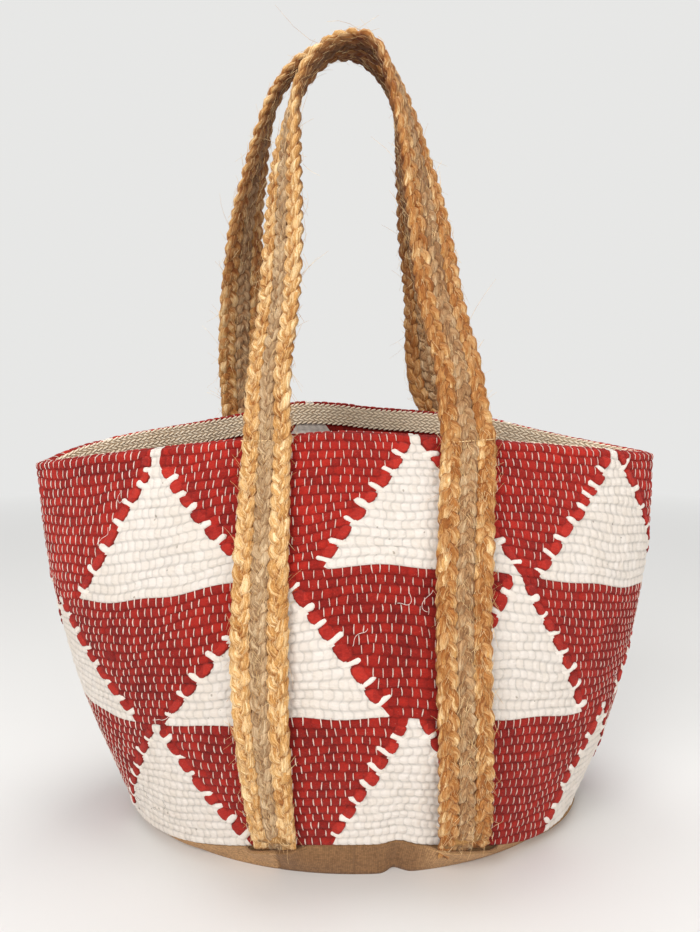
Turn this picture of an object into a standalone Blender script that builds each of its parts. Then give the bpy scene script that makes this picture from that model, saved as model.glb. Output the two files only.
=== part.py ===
"""Woven cotton beach bag with plaited jute straps.

A soft tote: one tube of thick red and white cotton weave, closed below by a shallow
jute canvas base, with a herringbone tape sewn inside the mouth. Two straps of three
jute plaits each start at the base seam, run up the wall, rise as a standing handle
and come down again on the same wall.

Frame: +Z up, -Y is the front, the origin lies on the ground under the middle.
All sizes are in metres.
"""

import math

import bpy
import numpy as np
from mathutils import Matrix

# Woven wall: half widths along X and half depths along Y, at four heights
SEAM_HALF_WIDTH = 0.1700
SEAM_HALF_DEPTH = 0.1100
BELLY_HALF_WIDTH = 0.2040
BELLY_HALF_DEPTH = 0.1200
SHOULDER_HALF_WIDTH = 0.2228
SHOULDER_HALF_DEPTH = 0.0967
MOUTH_HALF_WIDTH = 0.2305
MOUTH_HALF_DEPTH = 0.0590

# Where belly and shoulder lie between the base seam (0) and the rim (1)
BELLY_LEVEL = 0.32
SHOULDER_LEVEL = 0.65

# The bag leans a little: where its middle lies along X at the seam and at the rim
SEAM_MIDDLE_X = 0.0062
MOUTH_MIDDLE_X = -0.0013

# How sharply the wall turns at the two sides: 1 is an ellipse, 2 is a pointed lens
SEAM_SIDE_PINCH = 1.09
BELLY_SIDE_PINCH = 1.35
SHOULDER_SIDE_PINCH = 1.31
MOUTH_SIDE_PINCH = 1.36

# Heights above the ground
SEAM_MIDDLE_HEIGHT = 0.0265
SEAM_SIDE_HEIGHT = 0.0055
FRONT_RIM_HEIGHT = 0.2810
BACK_RIM_HEIGHT = 0.2980
LEFT_CORNER_HEIGHT = 0.2560
RIGHT_CORNER_HEIGHT = 0.2630

# How the rim sags towards the corners, and how the seam drops towards the ends
RIM_SAG_POWER = 1.3
SEAM_DROP_POWER = 3

# Cloth
CLOTH_THICKNESS = 0.0050
RIDGE_RELIEF = 0.0011
RIDGE_COUNT = 22
WALL_COLUMNS = 54
OUTLINE_STEPS = 1440
LINING_ROWS = 8
TAPE_BACKING_LEVEL = 0.9
SMOOTH_ANGLE = math.radians(50)

# Straps of three plaits side by side
PLAIT_WIDTH = 0.0117
PLAIT_THICKNESS = 0.0090
PLAIT_GAP = 0.0004
PLAIT_LOW_LOBE_SHARE = 0.62
PLAIT_NARROW_SHARE = 0.82
PLAIT_CROWN_SHARE = 0.72
PLAIT_SECTION_STEP = 0.0120
STRAP_GAP_TO_WALL = 0.0006
STRAP_END_LEVEL = 0.015
STRAP_RIM_LEVEL = 0.985
LEG_KNOTS = 24
STANDING_KNOTS = 17
SPLINE_STEPS = 12

# Where the middle of each leg lies along X at the seam, halfway up the wall and at the rim
FRONT_LEFT_LEG_X = (-0.0455, -0.0500, -0.0490)
FRONT_RIGHT_LEG_X = (0.0730, 0.0710, 0.0810)
BACK_LEFT_LEG_X = (-0.0790, -0.0800, -0.0815)
BACK_RIGHT_LEG_X = (0.0770, 0.0780, 0.0830)
LEG_STATIONS = (0.0, 0.5, 1.0)

# Standing part of the handles. A leg's lean is the share of its distance from the
# arch's middle that it loses on its way up.
FRONT_ARCH_X = 0.0070
BACK_ARCH_X = 0.0000
FRONT_LEFT_LEAN = 0.05
FRONT_RIGHT_LEAN = 0.44
BACK_LEFT_LEAN = 0.03
BACK_RIGHT_LEAN = 0.48
LEAN_POWER = 0.6
FRONT_ARCH_HEIGHT = 0.5410
BACK_ARCH_HEIGHT = 0.5490
ARCH_PLANE_OFFSET = 0.0200
ARCH_PLANE_POWER = 1.3
ROUND_TOP_SHARPNESS = 4
ROUND_TOP_POWER = 0.42

# A leg turns a quarter on its way up: the share of its height where it starts, and a power
LEFT_TWIST = (0.10, 1.3)
RIGHT_TWIST = (0.20, 1.8)

# Base and tape
BASE_FLOOR_THICKNESS = 0.0030
BASE_BAND_THICKNESS = 0.0030
BASE_FOOT_INSET = 0.0090
BASE_GATHER_DEPTH = 0.0012
BASE_GATHER_COUNT = 9
BASE_BULGE_INSET = 0.0027
TAPE_WIDTH = 0.0170
TAPE_THICKNESS = 0.0015
TAPE_BELOW_RIM = 0.0020
CONTACT_GAP = 0.0003

# Red and white pattern: three bands of upright white triangles. Each number is where a
# white point stands, as a share of the way round from the front middle towards +X.
WHITE_POINTS = (
    (-0.127, 0.049, 0.195, 0.360, 0.530, 0.700),
    (-0.224, -0.046, 0.113, 0.278, 0.437, 0.600),
    (-0.135, 0.033, 0.195, 0.355, 0.520, 0.694),
)
WHITE_POINT_SHARE = 0.012
WHITE_FOOT_SHARE = 0.124

# Colours
RED_COTTON = (0.42, 0.020, 0.025, 1.0)
WHITE_COTTON = (0.84, 0.79, 0.70, 1.0)
GOLDEN_JUTE = (0.62, 0.33, 0.10, 1.0)
GREY_JUTE = (0.42, 0.29, 0.16, 1.0)
CANVAS_JUTE = (0.52, 0.33, 0.17, 1.0)
TAPE_COTTON = (0.55, 0.48, 0.38, 1.0)


def clear_scene():
    """Remove every object of the start-up scene."""
    for item in list(bpy.data.objects):
        bpy.data.objects.remove(item, do_unlink=True)


def make_material(name, colour, roughness):
    """Make a plain Principled material."""
    material = bpy.data.materials.new(name)
    material.use_nodes = True
    material.diffuse_color = colour
    shader = material.node_tree.nodes["Principled BSDF"]
    shader.inputs["Base Color"].default_value = colour
    shader.inputs["Roughness"].default_value = roughness
    shader.inputs["Metallic"].default_value = 0.0
    return material


def smooth_through(places, values, at):
    """Read a smooth curve through a few stations, as cubic pieces with shared slopes."""
    places = np.asarray(places, dtype=float)
    values = np.asarray(values, dtype=float)
    at = np.clip(np.asarray(at, dtype=float), places[0], places[-1])
    slopes = np.gradient(values, places)
    piece = np.clip(np.searchsorted(places, at, side="right") - 1, 0, len(places) - 2)
    span = places[piece + 1] - places[piece]
    t = (at - places[piece]) / span
    start = (2 * t**3 - 3 * t**2 + 1) * values[piece] + (t**3 - 2 * t**2 + t) * span * slopes[piece]
    end = (3 * t**2 - 2 * t**3) * values[piece + 1] + (t**3 - t**2) * span * slopes[piece + 1]
    return start + end


def wall_size(level):
    """Give the wall's half width, half depth and side pinch at a level from seam to rim."""
    stations = (0.0, BELLY_LEVEL, SHOULDER_LEVEL, 1.0)
    half_widths = (SEAM_HALF_WIDTH, BELLY_HALF_WIDTH, SHOULDER_HALF_WIDTH, MOUTH_HALF_WIDTH)
    half_depths = (SEAM_HALF_DEPTH, BELLY_HALF_DEPTH, SHOULDER_HALF_DEPTH, MOUTH_HALF_DEPTH)
    pinches = (SEAM_SIDE_PINCH, BELLY_SIDE_PINCH, SHOULDER_SIDE_PINCH, MOUTH_SIDE_PINCH)
    return (smooth_through(stations, half_widths, level),
            smooth_through(stations, half_depths, level),
            smooth_through(stations, pinches, level))


def wall_middle(level):
    """Give the place of the wall's middle along X at a level."""
    return SEAM_MIDDLE_X + (MOUTH_MIDDLE_X - SEAM_MIDDLE_X) * level


def rim_height(width_share, side):
    """Give the rim's height; it sags from the middle of each side to the two corners."""
    middle = np.where(side < 0, FRONT_RIM_HEIGHT, BACK_RIM_HEIGHT)
    corner = np.where(width_share < 0, LEFT_CORNER_HEIGHT, RIGHT_CORNER_HEIGHT)
    return middle - (middle - corner) * np.abs(width_share) ** RIM_SAG_POWER


def seam_height(width_share):
    """Give the height of the base seam; it drops from the middle of each side to the ends."""
    lift = (1.0 - width_share**2) ** SEAM_DROP_POWER
    return SEAM_SIDE_HEIGHT + (SEAM_MIDDLE_HEIGHT - SEAM_SIDE_HEIGHT) * lift


def wall_height(width_share, side, level):
    """Give the height of the wall at a level between the base seam and the rim."""
    foot = seam_height(width_share) + CONTACT_GAP
    return foot + (rim_height(width_share, side) - foot) * level


def section_points(level, inset, shares):
    """Give points around the wall at one level, evenly spaced along its outline.

    The outline is x = m + a sin(t), y = -b cos(t)^pinch, a rounded lens. The inset moves
    it inwards, and the shares run from the front middle towards +X.
    """
    half_width, half_depth, pinch = wall_size(level)
    half_width = half_width - inset * (1.0 + level)
    half_depth = half_depth - inset
    turn = np.linspace(0.0, 2.0 * math.pi, OUTLINE_STEPS + 1)
    cosine = np.cos(turn)
    x = half_width * np.sin(turn)
    y = -half_depth * np.sign(cosine) * np.abs(cosine) ** pinch
    run = np.concatenate(([0.0], np.cumsum(np.hypot(np.diff(x), np.diff(y)))))
    wanted = np.mod(shares, 1.0) * run[-1]
    angle = np.interp(wanted, run, turn)
    cosine = np.cos(angle)
    points = np.empty((len(shares), 3))
    points[:, 0] = wall_middle(level) + half_width * np.sin(angle)
    points[:, 1] = -half_depth * np.sign(cosine) * np.abs(cosine) ** pinch
    points[:, 2] = wall_height(np.sin(angle), points[:, 1], level)
    return points


def column_shares():
    """Give the places of the wall's columns."""
    return np.arange(WALL_COLUMNS) / WALL_COLUMNS


def ring_faces(rows, columns, wrap):
    """List triangle pairs between neighbouring rings; wrap joins the last ring to the first.

    Every pair is cut along the same diagonal, so that two pieces with matching rings
    keep the same gap all over.
    """
    faces = []
    for row in range(rows if wrap else rows - 1):
        above = (row + 1) % rows
        for column in range(columns):
            beside = (column + 1) % columns
            low_left = row * columns + column
            high_right = above * columns + beside
            faces.append((low_left, row * columns + beside, high_right))
            faces.append((low_left, high_right, above * columns + column))
    return faces


def add_object(name, rings, faces, materials, collection):
    """Make a smooth mesh object from rings of points and put it in the collection."""
    mesh = bpy.data.meshes.new(name)
    mesh.from_pydata(np.concatenate(rings).tolist(), [], faces)
    for material in materials:
        mesh.materials.append(material)
    mesh.validate()
    mesh.shade_smooth()
    mesh.set_sharp_from_angle(angle=SMOOTH_ANGLE)
    item = bpy.data.objects.new(name, mesh)
    collection.objects.link(item)
    return item


def lining_ring_below_rim(below_rim):
    """Give the lining's ring at a distance below the rim, on straight lines down the wall."""
    shares = column_shares()
    rim = section_points(1.0, CLOTH_THICKNESS, shares)
    lower = section_points(TAPE_BACKING_LEVEL, CLOTH_THICKNESS, shares)
    mix = below_rim / (rim[:, 2] - lower[:, 2])
    return rim + (lower - rim) * mix[:, None]


def is_white(share, level):
    """Tell whether the cloth is white there: inside an upright triangle of its band."""
    band_count = len(WHITE_POINTS)
    from_top = (1.0 - level) * band_count
    band = min(int(from_top), band_count - 1)
    reach = WHITE_POINT_SHARE + (WHITE_FOOT_SHARE - WHITE_POINT_SHARE) * (from_top - band)
    for point in WHITE_POINTS[band]:
        distance = abs((share - point + 0.5) % 1.0 - 0.5)
        if distance < reach * 0.5:
            return True
    return False


def build_woven_body(collection, red, white):
    """Build the woven tube: ridged outside, plainer inside, closed at both edges."""
    shares = column_shares()
    outer_levels = np.linspace(0.0, 1.0, 2 * RIDGE_COUNT + 1)
    rings = []
    for index, level in enumerate(outer_levels):
        relief = RIDGE_RELIEF if index % 2 else 0.0
        rings.append(section_points(level, -relief, shares))
    for below in (0.0, TAPE_BELOW_RIM, TAPE_BELOW_RIM + TAPE_WIDTH):
        rings.append(lining_ring_below_rim(below))
    lining_levels = np.linspace(TAPE_BACKING_LEVEL, 0.0, LINING_ROWS)
    for level in lining_levels:
        rings.append(section_points(level, CLOTH_THICKNESS, shares))
    faces = ring_faces(len(rings), WALL_COLUMNS, wrap=True)
    body = add_object("woven_body", rings, faces, (red, white), collection)
    row_levels = np.concatenate((outer_levels, (1.0, 1.0, TAPE_BACKING_LEVEL), lining_levels))
    for polygon in body.data.polygons:
        row, column = divmod(polygon.index // 2, WALL_COLUMNS)
        middle = 0.5 * (row_levels[row] + row_levels[(row + 1) % len(row_levels)])
        if is_white((column + 0.5) / WALL_COLUMNS, middle):
            polygon.material_index = 1
    return body


def base_ring(height_share, inset):
    """Give one ring of the base: the wall's seam outline drawn in, with shallow gathers.

    The height share runs from the ground (0) to the seam (1).
    """
    shares = column_shares()
    ring = section_points(0.0, inset, shares)
    gather = np.sin(2.0 * math.pi * BASE_GATHER_COUNT * shares)
    bulge = 4.0 * height_share * (1.0 - height_share)
    pull = 1.0 - BASE_GATHER_DEPTH * (1.0 + gather) * bulge / SEAM_HALF_DEPTH
    ring[:, 0] = SEAM_MIDDLE_X + (ring[:, 0] - SEAM_MIDDLE_X) * pull
    ring[:, 1] *= pull
    ring[:, 2] = (ring[:, 2] - CONTACT_GAP) * height_share
    return ring


def build_base_panel(collection, canvas):
    """Build the canvas base: a flat floor with a low standing edge, a shallow dish."""
    floor = base_ring(0.0, BASE_FOOT_INSET + BASE_BAND_THICKNESS)
    floor[:, 2] = BASE_FLOOR_THICKNESS
    rings = [
        base_ring(0.0, BASE_FOOT_INSET),
        base_ring(0.5, BASE_BULGE_INSET),
        base_ring(1.0, 0.0),
        base_ring(1.0, BASE_BAND_THICKNESS),
        floor,
    ]
    faces = ring_faces(len(rings), WALL_COLUMNS, wrap=False)
    last = (len(rings) - 1) * WALL_COLUMNS
    faces.append(tuple(reversed(range(WALL_COLUMNS))))
    faces.append(tuple(range(last, last + WALL_COLUMNS)))
    return add_object("base_panel", rings, faces, (canvas,), collection)


def moved_inwards(ring, distance):
    """Move a ring's points inwards, so that each side moves by the same distance."""
    before = ring - np.roll(ring, 1, axis=0)
    after = np.roll(ring, -1, axis=0) - ring
    normals = []
    for side in (before, after):
        flat = np.column_stack((-side[:, 1], side[:, 0]))
        normals.append(flat / np.linalg.norm(flat, axis=1)[:, None])
    mitre = normals[0] + normals[1]
    mitre *= 2.0 / np.sum(mitre * mitre, axis=1)[:, None]
    moved = ring.copy()
    moved[:, :2] += mitre * distance
    return moved


def build_rim_tape(collection, cotton):
    """Build the tape band that lies on the inside of the wall, just under its edge."""
    outside = CONTACT_GAP
    inside = outside + TAPE_THICKNESS
    foot = TAPE_BELOW_RIM + TAPE_WIDTH
    top = lining_ring_below_rim(TAPE_BELOW_RIM)
    bottom = lining_ring_below_rim(foot)
    rings = [
        moved_inwards(top, outside),
        moved_inwards(bottom, outside),
        moved_inwards(bottom, inside),
        moved_inwards(top, inside),
    ]
    faces = ring_faces(len(rings), WALL_COLUMNS, wrap=True)
    return add_object("rim_tape", rings, faces, (cotton,), collection)


def wall_point(x, level, side, proud):
    """Give the wall's outer point at a given x and level, and its outward direction."""
    def surface(x_at, level_at):
        half_width, half_depth, pinch = wall_size(level_at)
        share = (x_at - wall_middle(level_at)) / half_width
        y = side * half_depth * (1.0 - share * share) ** (0.5 * pinch)
        return np.array((x_at, float(y), float(wall_height(share, side, level_at))))

    step = 0.0020
    here = surface(x, level)
    across = surface(x + step, level) - surface(x - step, level)
    up = surface(x, level + step) - surface(x, level - step)
    outward = np.cross(across, up)
    outward *= 1.0 / np.linalg.norm(outward)
    if outward[1] * side < 0.0:
        outward = -outward
    return here + outward * proud, outward


def leg_on_wall(places, side):
    """Give the points and outward directions of one strap leg on the wall, seam to rim.

    The places are the leg's middle along X at its three stations.
    """
    proud = RIDGE_RELIEF + STRAP_GAP_TO_WALL
    levels = np.linspace(STRAP_END_LEVEL, STRAP_RIM_LEVEL, LEG_KNOTS)
    line = smooth_through(LEG_STATIONS, places, levels)
    pairs = [wall_point(x, level, side, proud) for x, level in zip(line, levels)]
    return np.array([pair[0] for pair in pairs]), np.array([pair[1] for pair in pairs])


def spline_points(knots, per_span):
    """Read a Catmull-Rom curve through the knots."""
    knots = np.asarray(knots, dtype=float)
    padded = np.vstack((2 * knots[0] - knots[1], knots, 2 * knots[-1] - knots[-2]))
    t = np.linspace(0.0, 1.0, per_span, endpoint=False)[:, None]
    spans = []
    for index in range(len(knots) - 1):
        a, b, c, d = padded[index:index + 4]
        spans.append(0.5 * (2 * b + (c - a) * t + (2 * a - 5 * b + 4 * c - d) * t**2
                            + (3 * b - a - 3 * c + d) * t**3))
    spans.append(knots[-1:])
    return np.vstack(spans)


def evenly_along(points, step):
    """Space points evenly along a polyline."""
    run = np.concatenate(([0.0], np.cumsum(np.linalg.norm(np.diff(points, axis=0), axis=1))))
    count = max(int(round(run[-1] / step)), 2)
    wanted = np.linspace(0.0, run[-1], count + 1)
    return np.column_stack([np.interp(wanted, run, points[:, axis]) for axis in range(3)])


def standing_leg(rim_spot, side, arch_x, arch_height, lean):
    """Give the points of one standing leg, from just above the rim to the arch's top.

    The leg's distance from the arch's middle shrinks by its lean and by a round top,
    (1 - h^sharpness)^power for a height share h, and its plane moves from the wall to
    the arch's plane as 1 - (1 - h)^power.
    """
    share = np.sin(0.5 * math.pi * np.linspace(1.0 / STANDING_KNOTS, 1.0, STANDING_KNOTS))
    points = np.empty((len(share), 3))
    round_top = np.clip(1.0 - share**ROUND_TOP_SHARPNESS, 0.0, 1.0) ** ROUND_TOP_POWER
    to_arch_plane = 1.0 - (1.0 - share) ** ARCH_PLANE_POWER
    points[:, 0] = arch_x + (rim_spot[0] - arch_x) * (1.0 - lean * share**LEAN_POWER) * round_top
    points[:, 1] = rim_spot[1] + (side * ARCH_PLANE_OFFSET - rim_spot[1]) * to_arch_plane
    points[:, 2] = rim_spot[2] + (arch_height - rim_spot[2]) * share
    return points


def direction_at(height, points, outward):
    """Read the outward direction of a leg on the wall at given heights."""
    return np.column_stack([np.interp(height, points[:, 2], outward[:, axis]) for axis in range(3)])


def handle_frames(side, left, right, arch_x, arch_height):
    """Give the strap's path with its outward and sideways directions.

    Left and right are the legs, each with its places and its lean. The legs follow the
    wall, and the strap turns a quarter above it, so that it lies flat over the arch: by
    ((h - start) / (1 - start))^power of a right angle at a height share h.
    """
    left_points, left_outward = leg_on_wall(left[0], side)
    right_points, right_outward = leg_on_wall(right[0], side)
    left_standing = standing_leg(left_points[-1], side, arch_x, arch_height, left[1])
    right_standing = standing_leg(right_points[-1], side, arch_x, arch_height, right[1])
    knots = np.vstack((left_points, left_standing, right_standing[-2::-1], right_points[::-1]))
    path = evenly_along(spline_points(knots, SPLINE_STEPS), PLAIT_SECTION_STEP)
    tangent = np.gradient(path, axis=0)
    tangent /= np.linalg.norm(tangent, axis=1)[:, None]

    height = path[:, 2]
    on_left = (np.arange(len(path)) < np.argmax(height))[:, None]
    left_wall = direction_at(height, left_points, left_outward)
    right_wall = direction_at(height, right_points, right_outward)
    facing = np.where(on_left, left_wall, right_wall)

    rim = np.where(on_left[:, 0], left_points[-1, 2], right_points[-1, 2])
    share = (height - rim) / (arch_height - rim)
    left_turn, right_turn = (np.clip((share - start) / (1.0 - start), 0.0, 1.0) ** power
                             for start, power in (LEFT_TWIST, RIGHT_TWIST))
    twist = 0.5 * math.pi * np.where(on_left, left_turn[:, None], right_turn[:, None])
    around = np.column_stack((-tangent[:, 2], np.zeros(len(path)), tangent[:, 0]))
    outward = np.cos(twist) * facing + np.sin(twist) * around
    outward -= tangent * np.sum(outward * tangent, axis=1)[:, None]
    outward /= np.linalg.norm(outward, axis=1)[:, None]
    across = np.cross(tangent, outward) * (1.0 if side < 0 else -1.0)
    return path, outward, across


def build_plait(name, frames, lane, material, collection):
    """Build one plait: a flat-backed bar whose two lobes rise in turn, as its strands cross."""
    path, outward, across = frames
    half = 0.5 * PLAIT_WIDTH
    centre = path + across * lane * (PLAIT_WIDTH + PLAIT_GAP)
    left_up = (np.arange(len(path)) % 2 == 0)[:, None]
    narrow = PLAIT_NARROW_SHARE * half
    low = PLAIT_LOW_LOBE_SHARE * PLAIT_THICKNESS
    left_reach = np.where(left_up, half, narrow)
    right_reach = np.where(left_up, narrow, half)
    left_rise = np.where(left_up, PLAIT_THICKNESS, low)
    right_rise = np.where(left_up, low, PLAIT_THICKNESS)
    corners = np.stack((
        centre - across * left_reach,
        centre + across * right_reach,
        centre + across * right_reach * PLAIT_CROWN_SHARE + outward * right_rise,
        centre - across * left_reach * PLAIT_CROWN_SHARE + outward * left_rise,
    ), axis=1)
    faces = ring_faces(len(path), 4, wrap=False)
    last = (len(path) - 1) * 4
    faces.append((3, 2, 1, 0))
    faces.append((last, last + 1, last + 2, last + 3))
    return add_object(name, list(corners), faces, (material,), collection)


def face_outwards(item):
    """Turn the faces of a closed mesh outwards."""
    mesh = item.data
    volume = 0.0
    for polygon in mesh.polygons:
        first = mesh.vertices[polygon.vertices[0]].co
        for index in range(1, len(polygon.vertices) - 1):
            second = mesh.vertices[polygon.vertices[index]].co
            third = mesh.vertices[polygon.vertices[index + 1]].co
            volume += first.dot(second.cross(third))
    if volume < 0.0:
        mesh.flip_normals()


def stand_on_origin(items):
    """Move the finished pieces together, so that the origin is under the middle of their box."""
    spots = np.array([vertex.co[:] for item in items for vertex in item.data.vertices])
    middle = 0.5 * (spots.min(axis=0) + spots.max(axis=0))
    shift = Matrix.Translation((-middle[0], -middle[1], 0.0))
    for item in items:
        item.data.transform(shift)


def build_handle(word, side, left, right, arch, golden, grey, collection):
    """Build the three plaits of one handle; arch holds the arch's middle and height."""
    frames = handle_frames(side, left, right, *arch)
    plaits = (("outer", -1.0, golden), ("middle", 0.0, grey), ("inner", 1.0, golden))
    return [build_plait(f"{word}_handle_{place}_braid", frames, lane, material, collection)
            for place, lane, material in plaits]


def build_bag():
    """Build every piece of the bag."""
    clear_scene()
    collection = bpy.data.collections.new("cotton_beach_bag")
    bpy.context.scene.collection.children.link(collection)
    red = make_material("red_cotton", RED_COTTON, 0.95)
    white = make_material("white_cotton", WHITE_COTTON, 0.95)
    golden = make_material("golden_jute", GOLDEN_JUTE, 0.85)
    grey = make_material("grey_jute", GREY_JUTE, 0.85)
    canvas = make_material("canvas_jute", CANVAS_JUTE, 0.90)
    cotton = make_material("tape_cotton", TAPE_COTTON, 0.90)
    items = [
        build_woven_body(collection, red, white),
        build_base_panel(collection, canvas),
        build_rim_tape(collection, cotton),
    ]
    items += build_handle("front", -1, (FRONT_LEFT_LEG_X, FRONT_LEFT_LEAN),
                          (FRONT_RIGHT_LEG_X, FRONT_RIGHT_LEAN),
                          (FRONT_ARCH_X, FRONT_ARCH_HEIGHT), golden, grey, collection)
    items += build_handle("back", 1, (BACK_LEFT_LEG_X, BACK_LEFT_LEAN),
                          (BACK_RIGHT_LEG_X, BACK_RIGHT_LEAN),
                          (BACK_ARCH_X, BACK_ARCH_HEIGHT), golden, grey, collection)
    for item in items:
        face_outwards(item)
    stand_on_origin(items)


build_bag()
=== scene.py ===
"""Looks of a woven beach bag with plaited jute straps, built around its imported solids.

The wall is a thick plain weave of red and white cotton in three bands of triangles. It is
worked out in weave coordinates: u counts warp units round the bag from the front middle
towards +X, and v counts weft rows from the rim down. Everything that lies on the cloth
goes through the same map from (u, v) to the wall, so threads, loops and colours agree.
"""

import logging
import math
from dataclasses import dataclass, field
from enum import Enum
from typing import Sequence

import bpy
import numpy as np
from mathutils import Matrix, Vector
from numpy.typing import NDArray


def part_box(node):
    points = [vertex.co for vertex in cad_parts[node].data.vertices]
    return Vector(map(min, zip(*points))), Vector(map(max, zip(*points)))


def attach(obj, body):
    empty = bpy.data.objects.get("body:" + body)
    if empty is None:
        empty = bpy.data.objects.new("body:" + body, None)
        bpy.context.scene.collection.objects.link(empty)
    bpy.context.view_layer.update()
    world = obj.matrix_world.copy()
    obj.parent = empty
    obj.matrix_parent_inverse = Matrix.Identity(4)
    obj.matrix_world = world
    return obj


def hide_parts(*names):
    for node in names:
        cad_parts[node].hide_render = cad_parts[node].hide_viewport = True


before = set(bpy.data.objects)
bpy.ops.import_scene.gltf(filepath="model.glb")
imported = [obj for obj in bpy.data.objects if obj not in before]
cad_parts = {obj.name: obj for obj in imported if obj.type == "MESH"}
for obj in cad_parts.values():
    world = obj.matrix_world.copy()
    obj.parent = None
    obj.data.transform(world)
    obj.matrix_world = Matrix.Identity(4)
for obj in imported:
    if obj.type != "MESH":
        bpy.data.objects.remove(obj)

Array = NDArray[np.float64]
Colour = tuple[float, float, float]
Faces = list[NDArray[np.int64]]
Material = bpy.types.Material
Piece = bpy.types.Object

logging.basicConfig(level=logging.INFO, format="%(name)s: %(message)s")
LOG = logging.getLogger("beach_bag")

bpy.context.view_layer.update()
BODY = "root"
FULL_TURN = 2.0 * math.pi
# The weave: warp units round the bag, and weft rows from the rim to the base seam
UNITS, ROWS = 172, 45


# Arrays and curves


def unit(vectors: Array) -> Array:
    """Scale vectors to length one."""
    return vectors / np.maximum(np.linalg.norm(vectors, axis=-1, keepdims=True), 1e-12)


def bell(x: Array, place: Array | float, breadth: float) -> Array:
    """Give a bell of height 1 round a place: exp(-((x - place) / breadth)^2)."""
    return np.exp(-(((x - place) / breadth) ** 2))


def run_along(points: Array) -> Array:
    """Give the way from a polyline's start to each of its points."""
    return np.concatenate(([0.0], np.cumsum(np.linalg.norm(np.diff(points, axis=0), axis=1))))


def smooth_through(places: Sequence[float], values: Sequence[float], at: Array) -> Array:
    """Read a smooth curve through a few stations, as cubic pieces with shared slopes.

    Args:
        places: The stations' places, in rising order.
        values: The value at each station.
        at: Where the curve is read.

    Returns:
        The curve's values: h00 v0 + h10 w m0 + h01 v1 + h11 w m1 on each span of width w.
    """
    knots, heights = np.asarray(places, dtype=float), np.asarray(values, dtype=float)
    at = np.clip(at, knots[0], knots[-1])
    slopes = np.gradient(heights, knots)
    piece = np.clip(np.searchsorted(knots, at, side="right") - 1, 0, len(knots) - 2)
    span = knots[piece + 1] - knots[piece]
    t = (at - knots[piece]) / span
    start = (2 * t**3 - 3 * t**2 + 1) * heights[piece] + (t**3 - 2 * t**2 + t) * span * slopes[piece]
    end = (3 * t**2 - 2 * t**3) * heights[piece + 1] + (t**3 - t**2) * span * slopes[piece + 1]
    return start + end


def even_spline(knots: Array, per_span: int, step: float) -> Array:
    """Space points evenly along a Catmull-Rom curve.

    Args:
        knots: The curve's knots, as (knots, 3).
        per_span: How finely each span is read before the points are spaced.
        step: About how far apart the points lie.

    Returns:
        The points, as (points, 3).
    """
    padded = np.vstack((2 * knots[0] - knots[1], knots, 2 * knots[-1] - knots[-2]))
    t = np.linspace(0.0, 1.0, per_span, endpoint=False)[None, :, None]
    a, b, c, d = (padded[k:k + len(knots) - 1, None, :] for k in range(4))
    curve = 0.5 * (2 * b + (c - a) * t + (2 * a - 5 * b + 4 * c - d) * t**2
                   + (3 * b - a - 3 * c + d) * t**3)
    points = np.vstack((curve.reshape(-1, 3), knots[-1:]))
    run = run_along(points)
    wanted = np.linspace(0.0, run[-1], max(int(round(run[-1] / step)), 2) + 1)
    return np.column_stack([np.interp(wanted, run, points[:, axis]) for axis in range(3)])


# Meshes


def grid_faces(rows: int, columns: int, wrap_rows: bool = False, wrap_columns: bool = False,
               flip: bool = False) -> NDArray[np.int64]:
    """List the quads of a grid whose points are numbered row by row.

    Args:
        rows: How many rows of points there are.
        columns: How many points a row has.
        wrap_rows: Whether the last row joins the first.
        wrap_columns: Whether the last column joins the first.
        flip: Whether the quads run the other way round.

    Returns:
        One line of four corner numbers for each quad.
    """
    row = np.arange(rows if wrap_rows else rows - 1)[:, None]
    column = np.arange(columns if wrap_columns else columns - 1)[None, :]
    below, beside = (row + 1) % rows, (column + 1) % columns
    quads = np.stack((row * columns + column, below * columns + column,
                      below * columns + beside, row * columns + beside), axis=-1).reshape(-1, 4)
    return quads[:, ::-1] if flip else quads


def repeated(faces: Array, count: int, size: int) -> Array:
    """Repeat faces for a number of alike blocks of points that follow each other."""
    return (faces[None] + (np.arange(count) * size)[:, None, None]).reshape(-1, faces.shape[1])


def make_piece(name: str, points: Array, faces: Faces, material: Material,
               uv: Array | None = None, values: dict[str, Array] | None = None) -> Piece:
    """Put arrays into a smooth mesh object at the origin.

    Args:
        name: The piece's name.
        points: Three coordinates for each vertex.
        faces: Arrays of corner numbers, each with faces of one size.
        material: The piece's finish.
        uv: The vertices' UV places, if the finish follows the surface.
        values: Named numbers for each vertex that the finish reads.

    Returns:
        The linked object.
    """
    corners = np.concatenate([block.ravel() for block in faces])
    sizes = np.concatenate([np.full(len(block), block.shape[1]) for block in faces])
    mesh = bpy.data.meshes.new(name)
    mesh.vertices.add(points.size // 3)
    mesh.vertices.foreach_set("co", points.astype(np.float32).ravel())
    mesh.loops.add(len(corners))
    mesh.loops.foreach_set("vertex_index", corners.astype(np.int32))
    mesh.polygons.add(len(sizes))
    mesh.polygons.foreach_set("loop_start", np.append(0, np.cumsum(sizes)[:-1]).astype(np.int32))
    mesh.update(calc_edges=True)
    if uv is not None:
        layer = mesh.uv_layers.new(name="cloth")
        layer.data.foreach_set("uv", uv.reshape(-1, 2).astype(np.float32)[corners].ravel())
    for key, numbers in (values or {}).items():
        attribute = mesh.attributes.new(key, "FLOAT", "POINT")
        attribute.data.foreach_set("value", numbers.astype(np.float32).ravel())
    mesh.materials.append(material)
    mesh.shade_smooth()
    mesh.validate()
    item = bpy.data.objects.new(name, mesh)
    bpy.context.scene.collection.objects.link(item)
    return item


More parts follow.
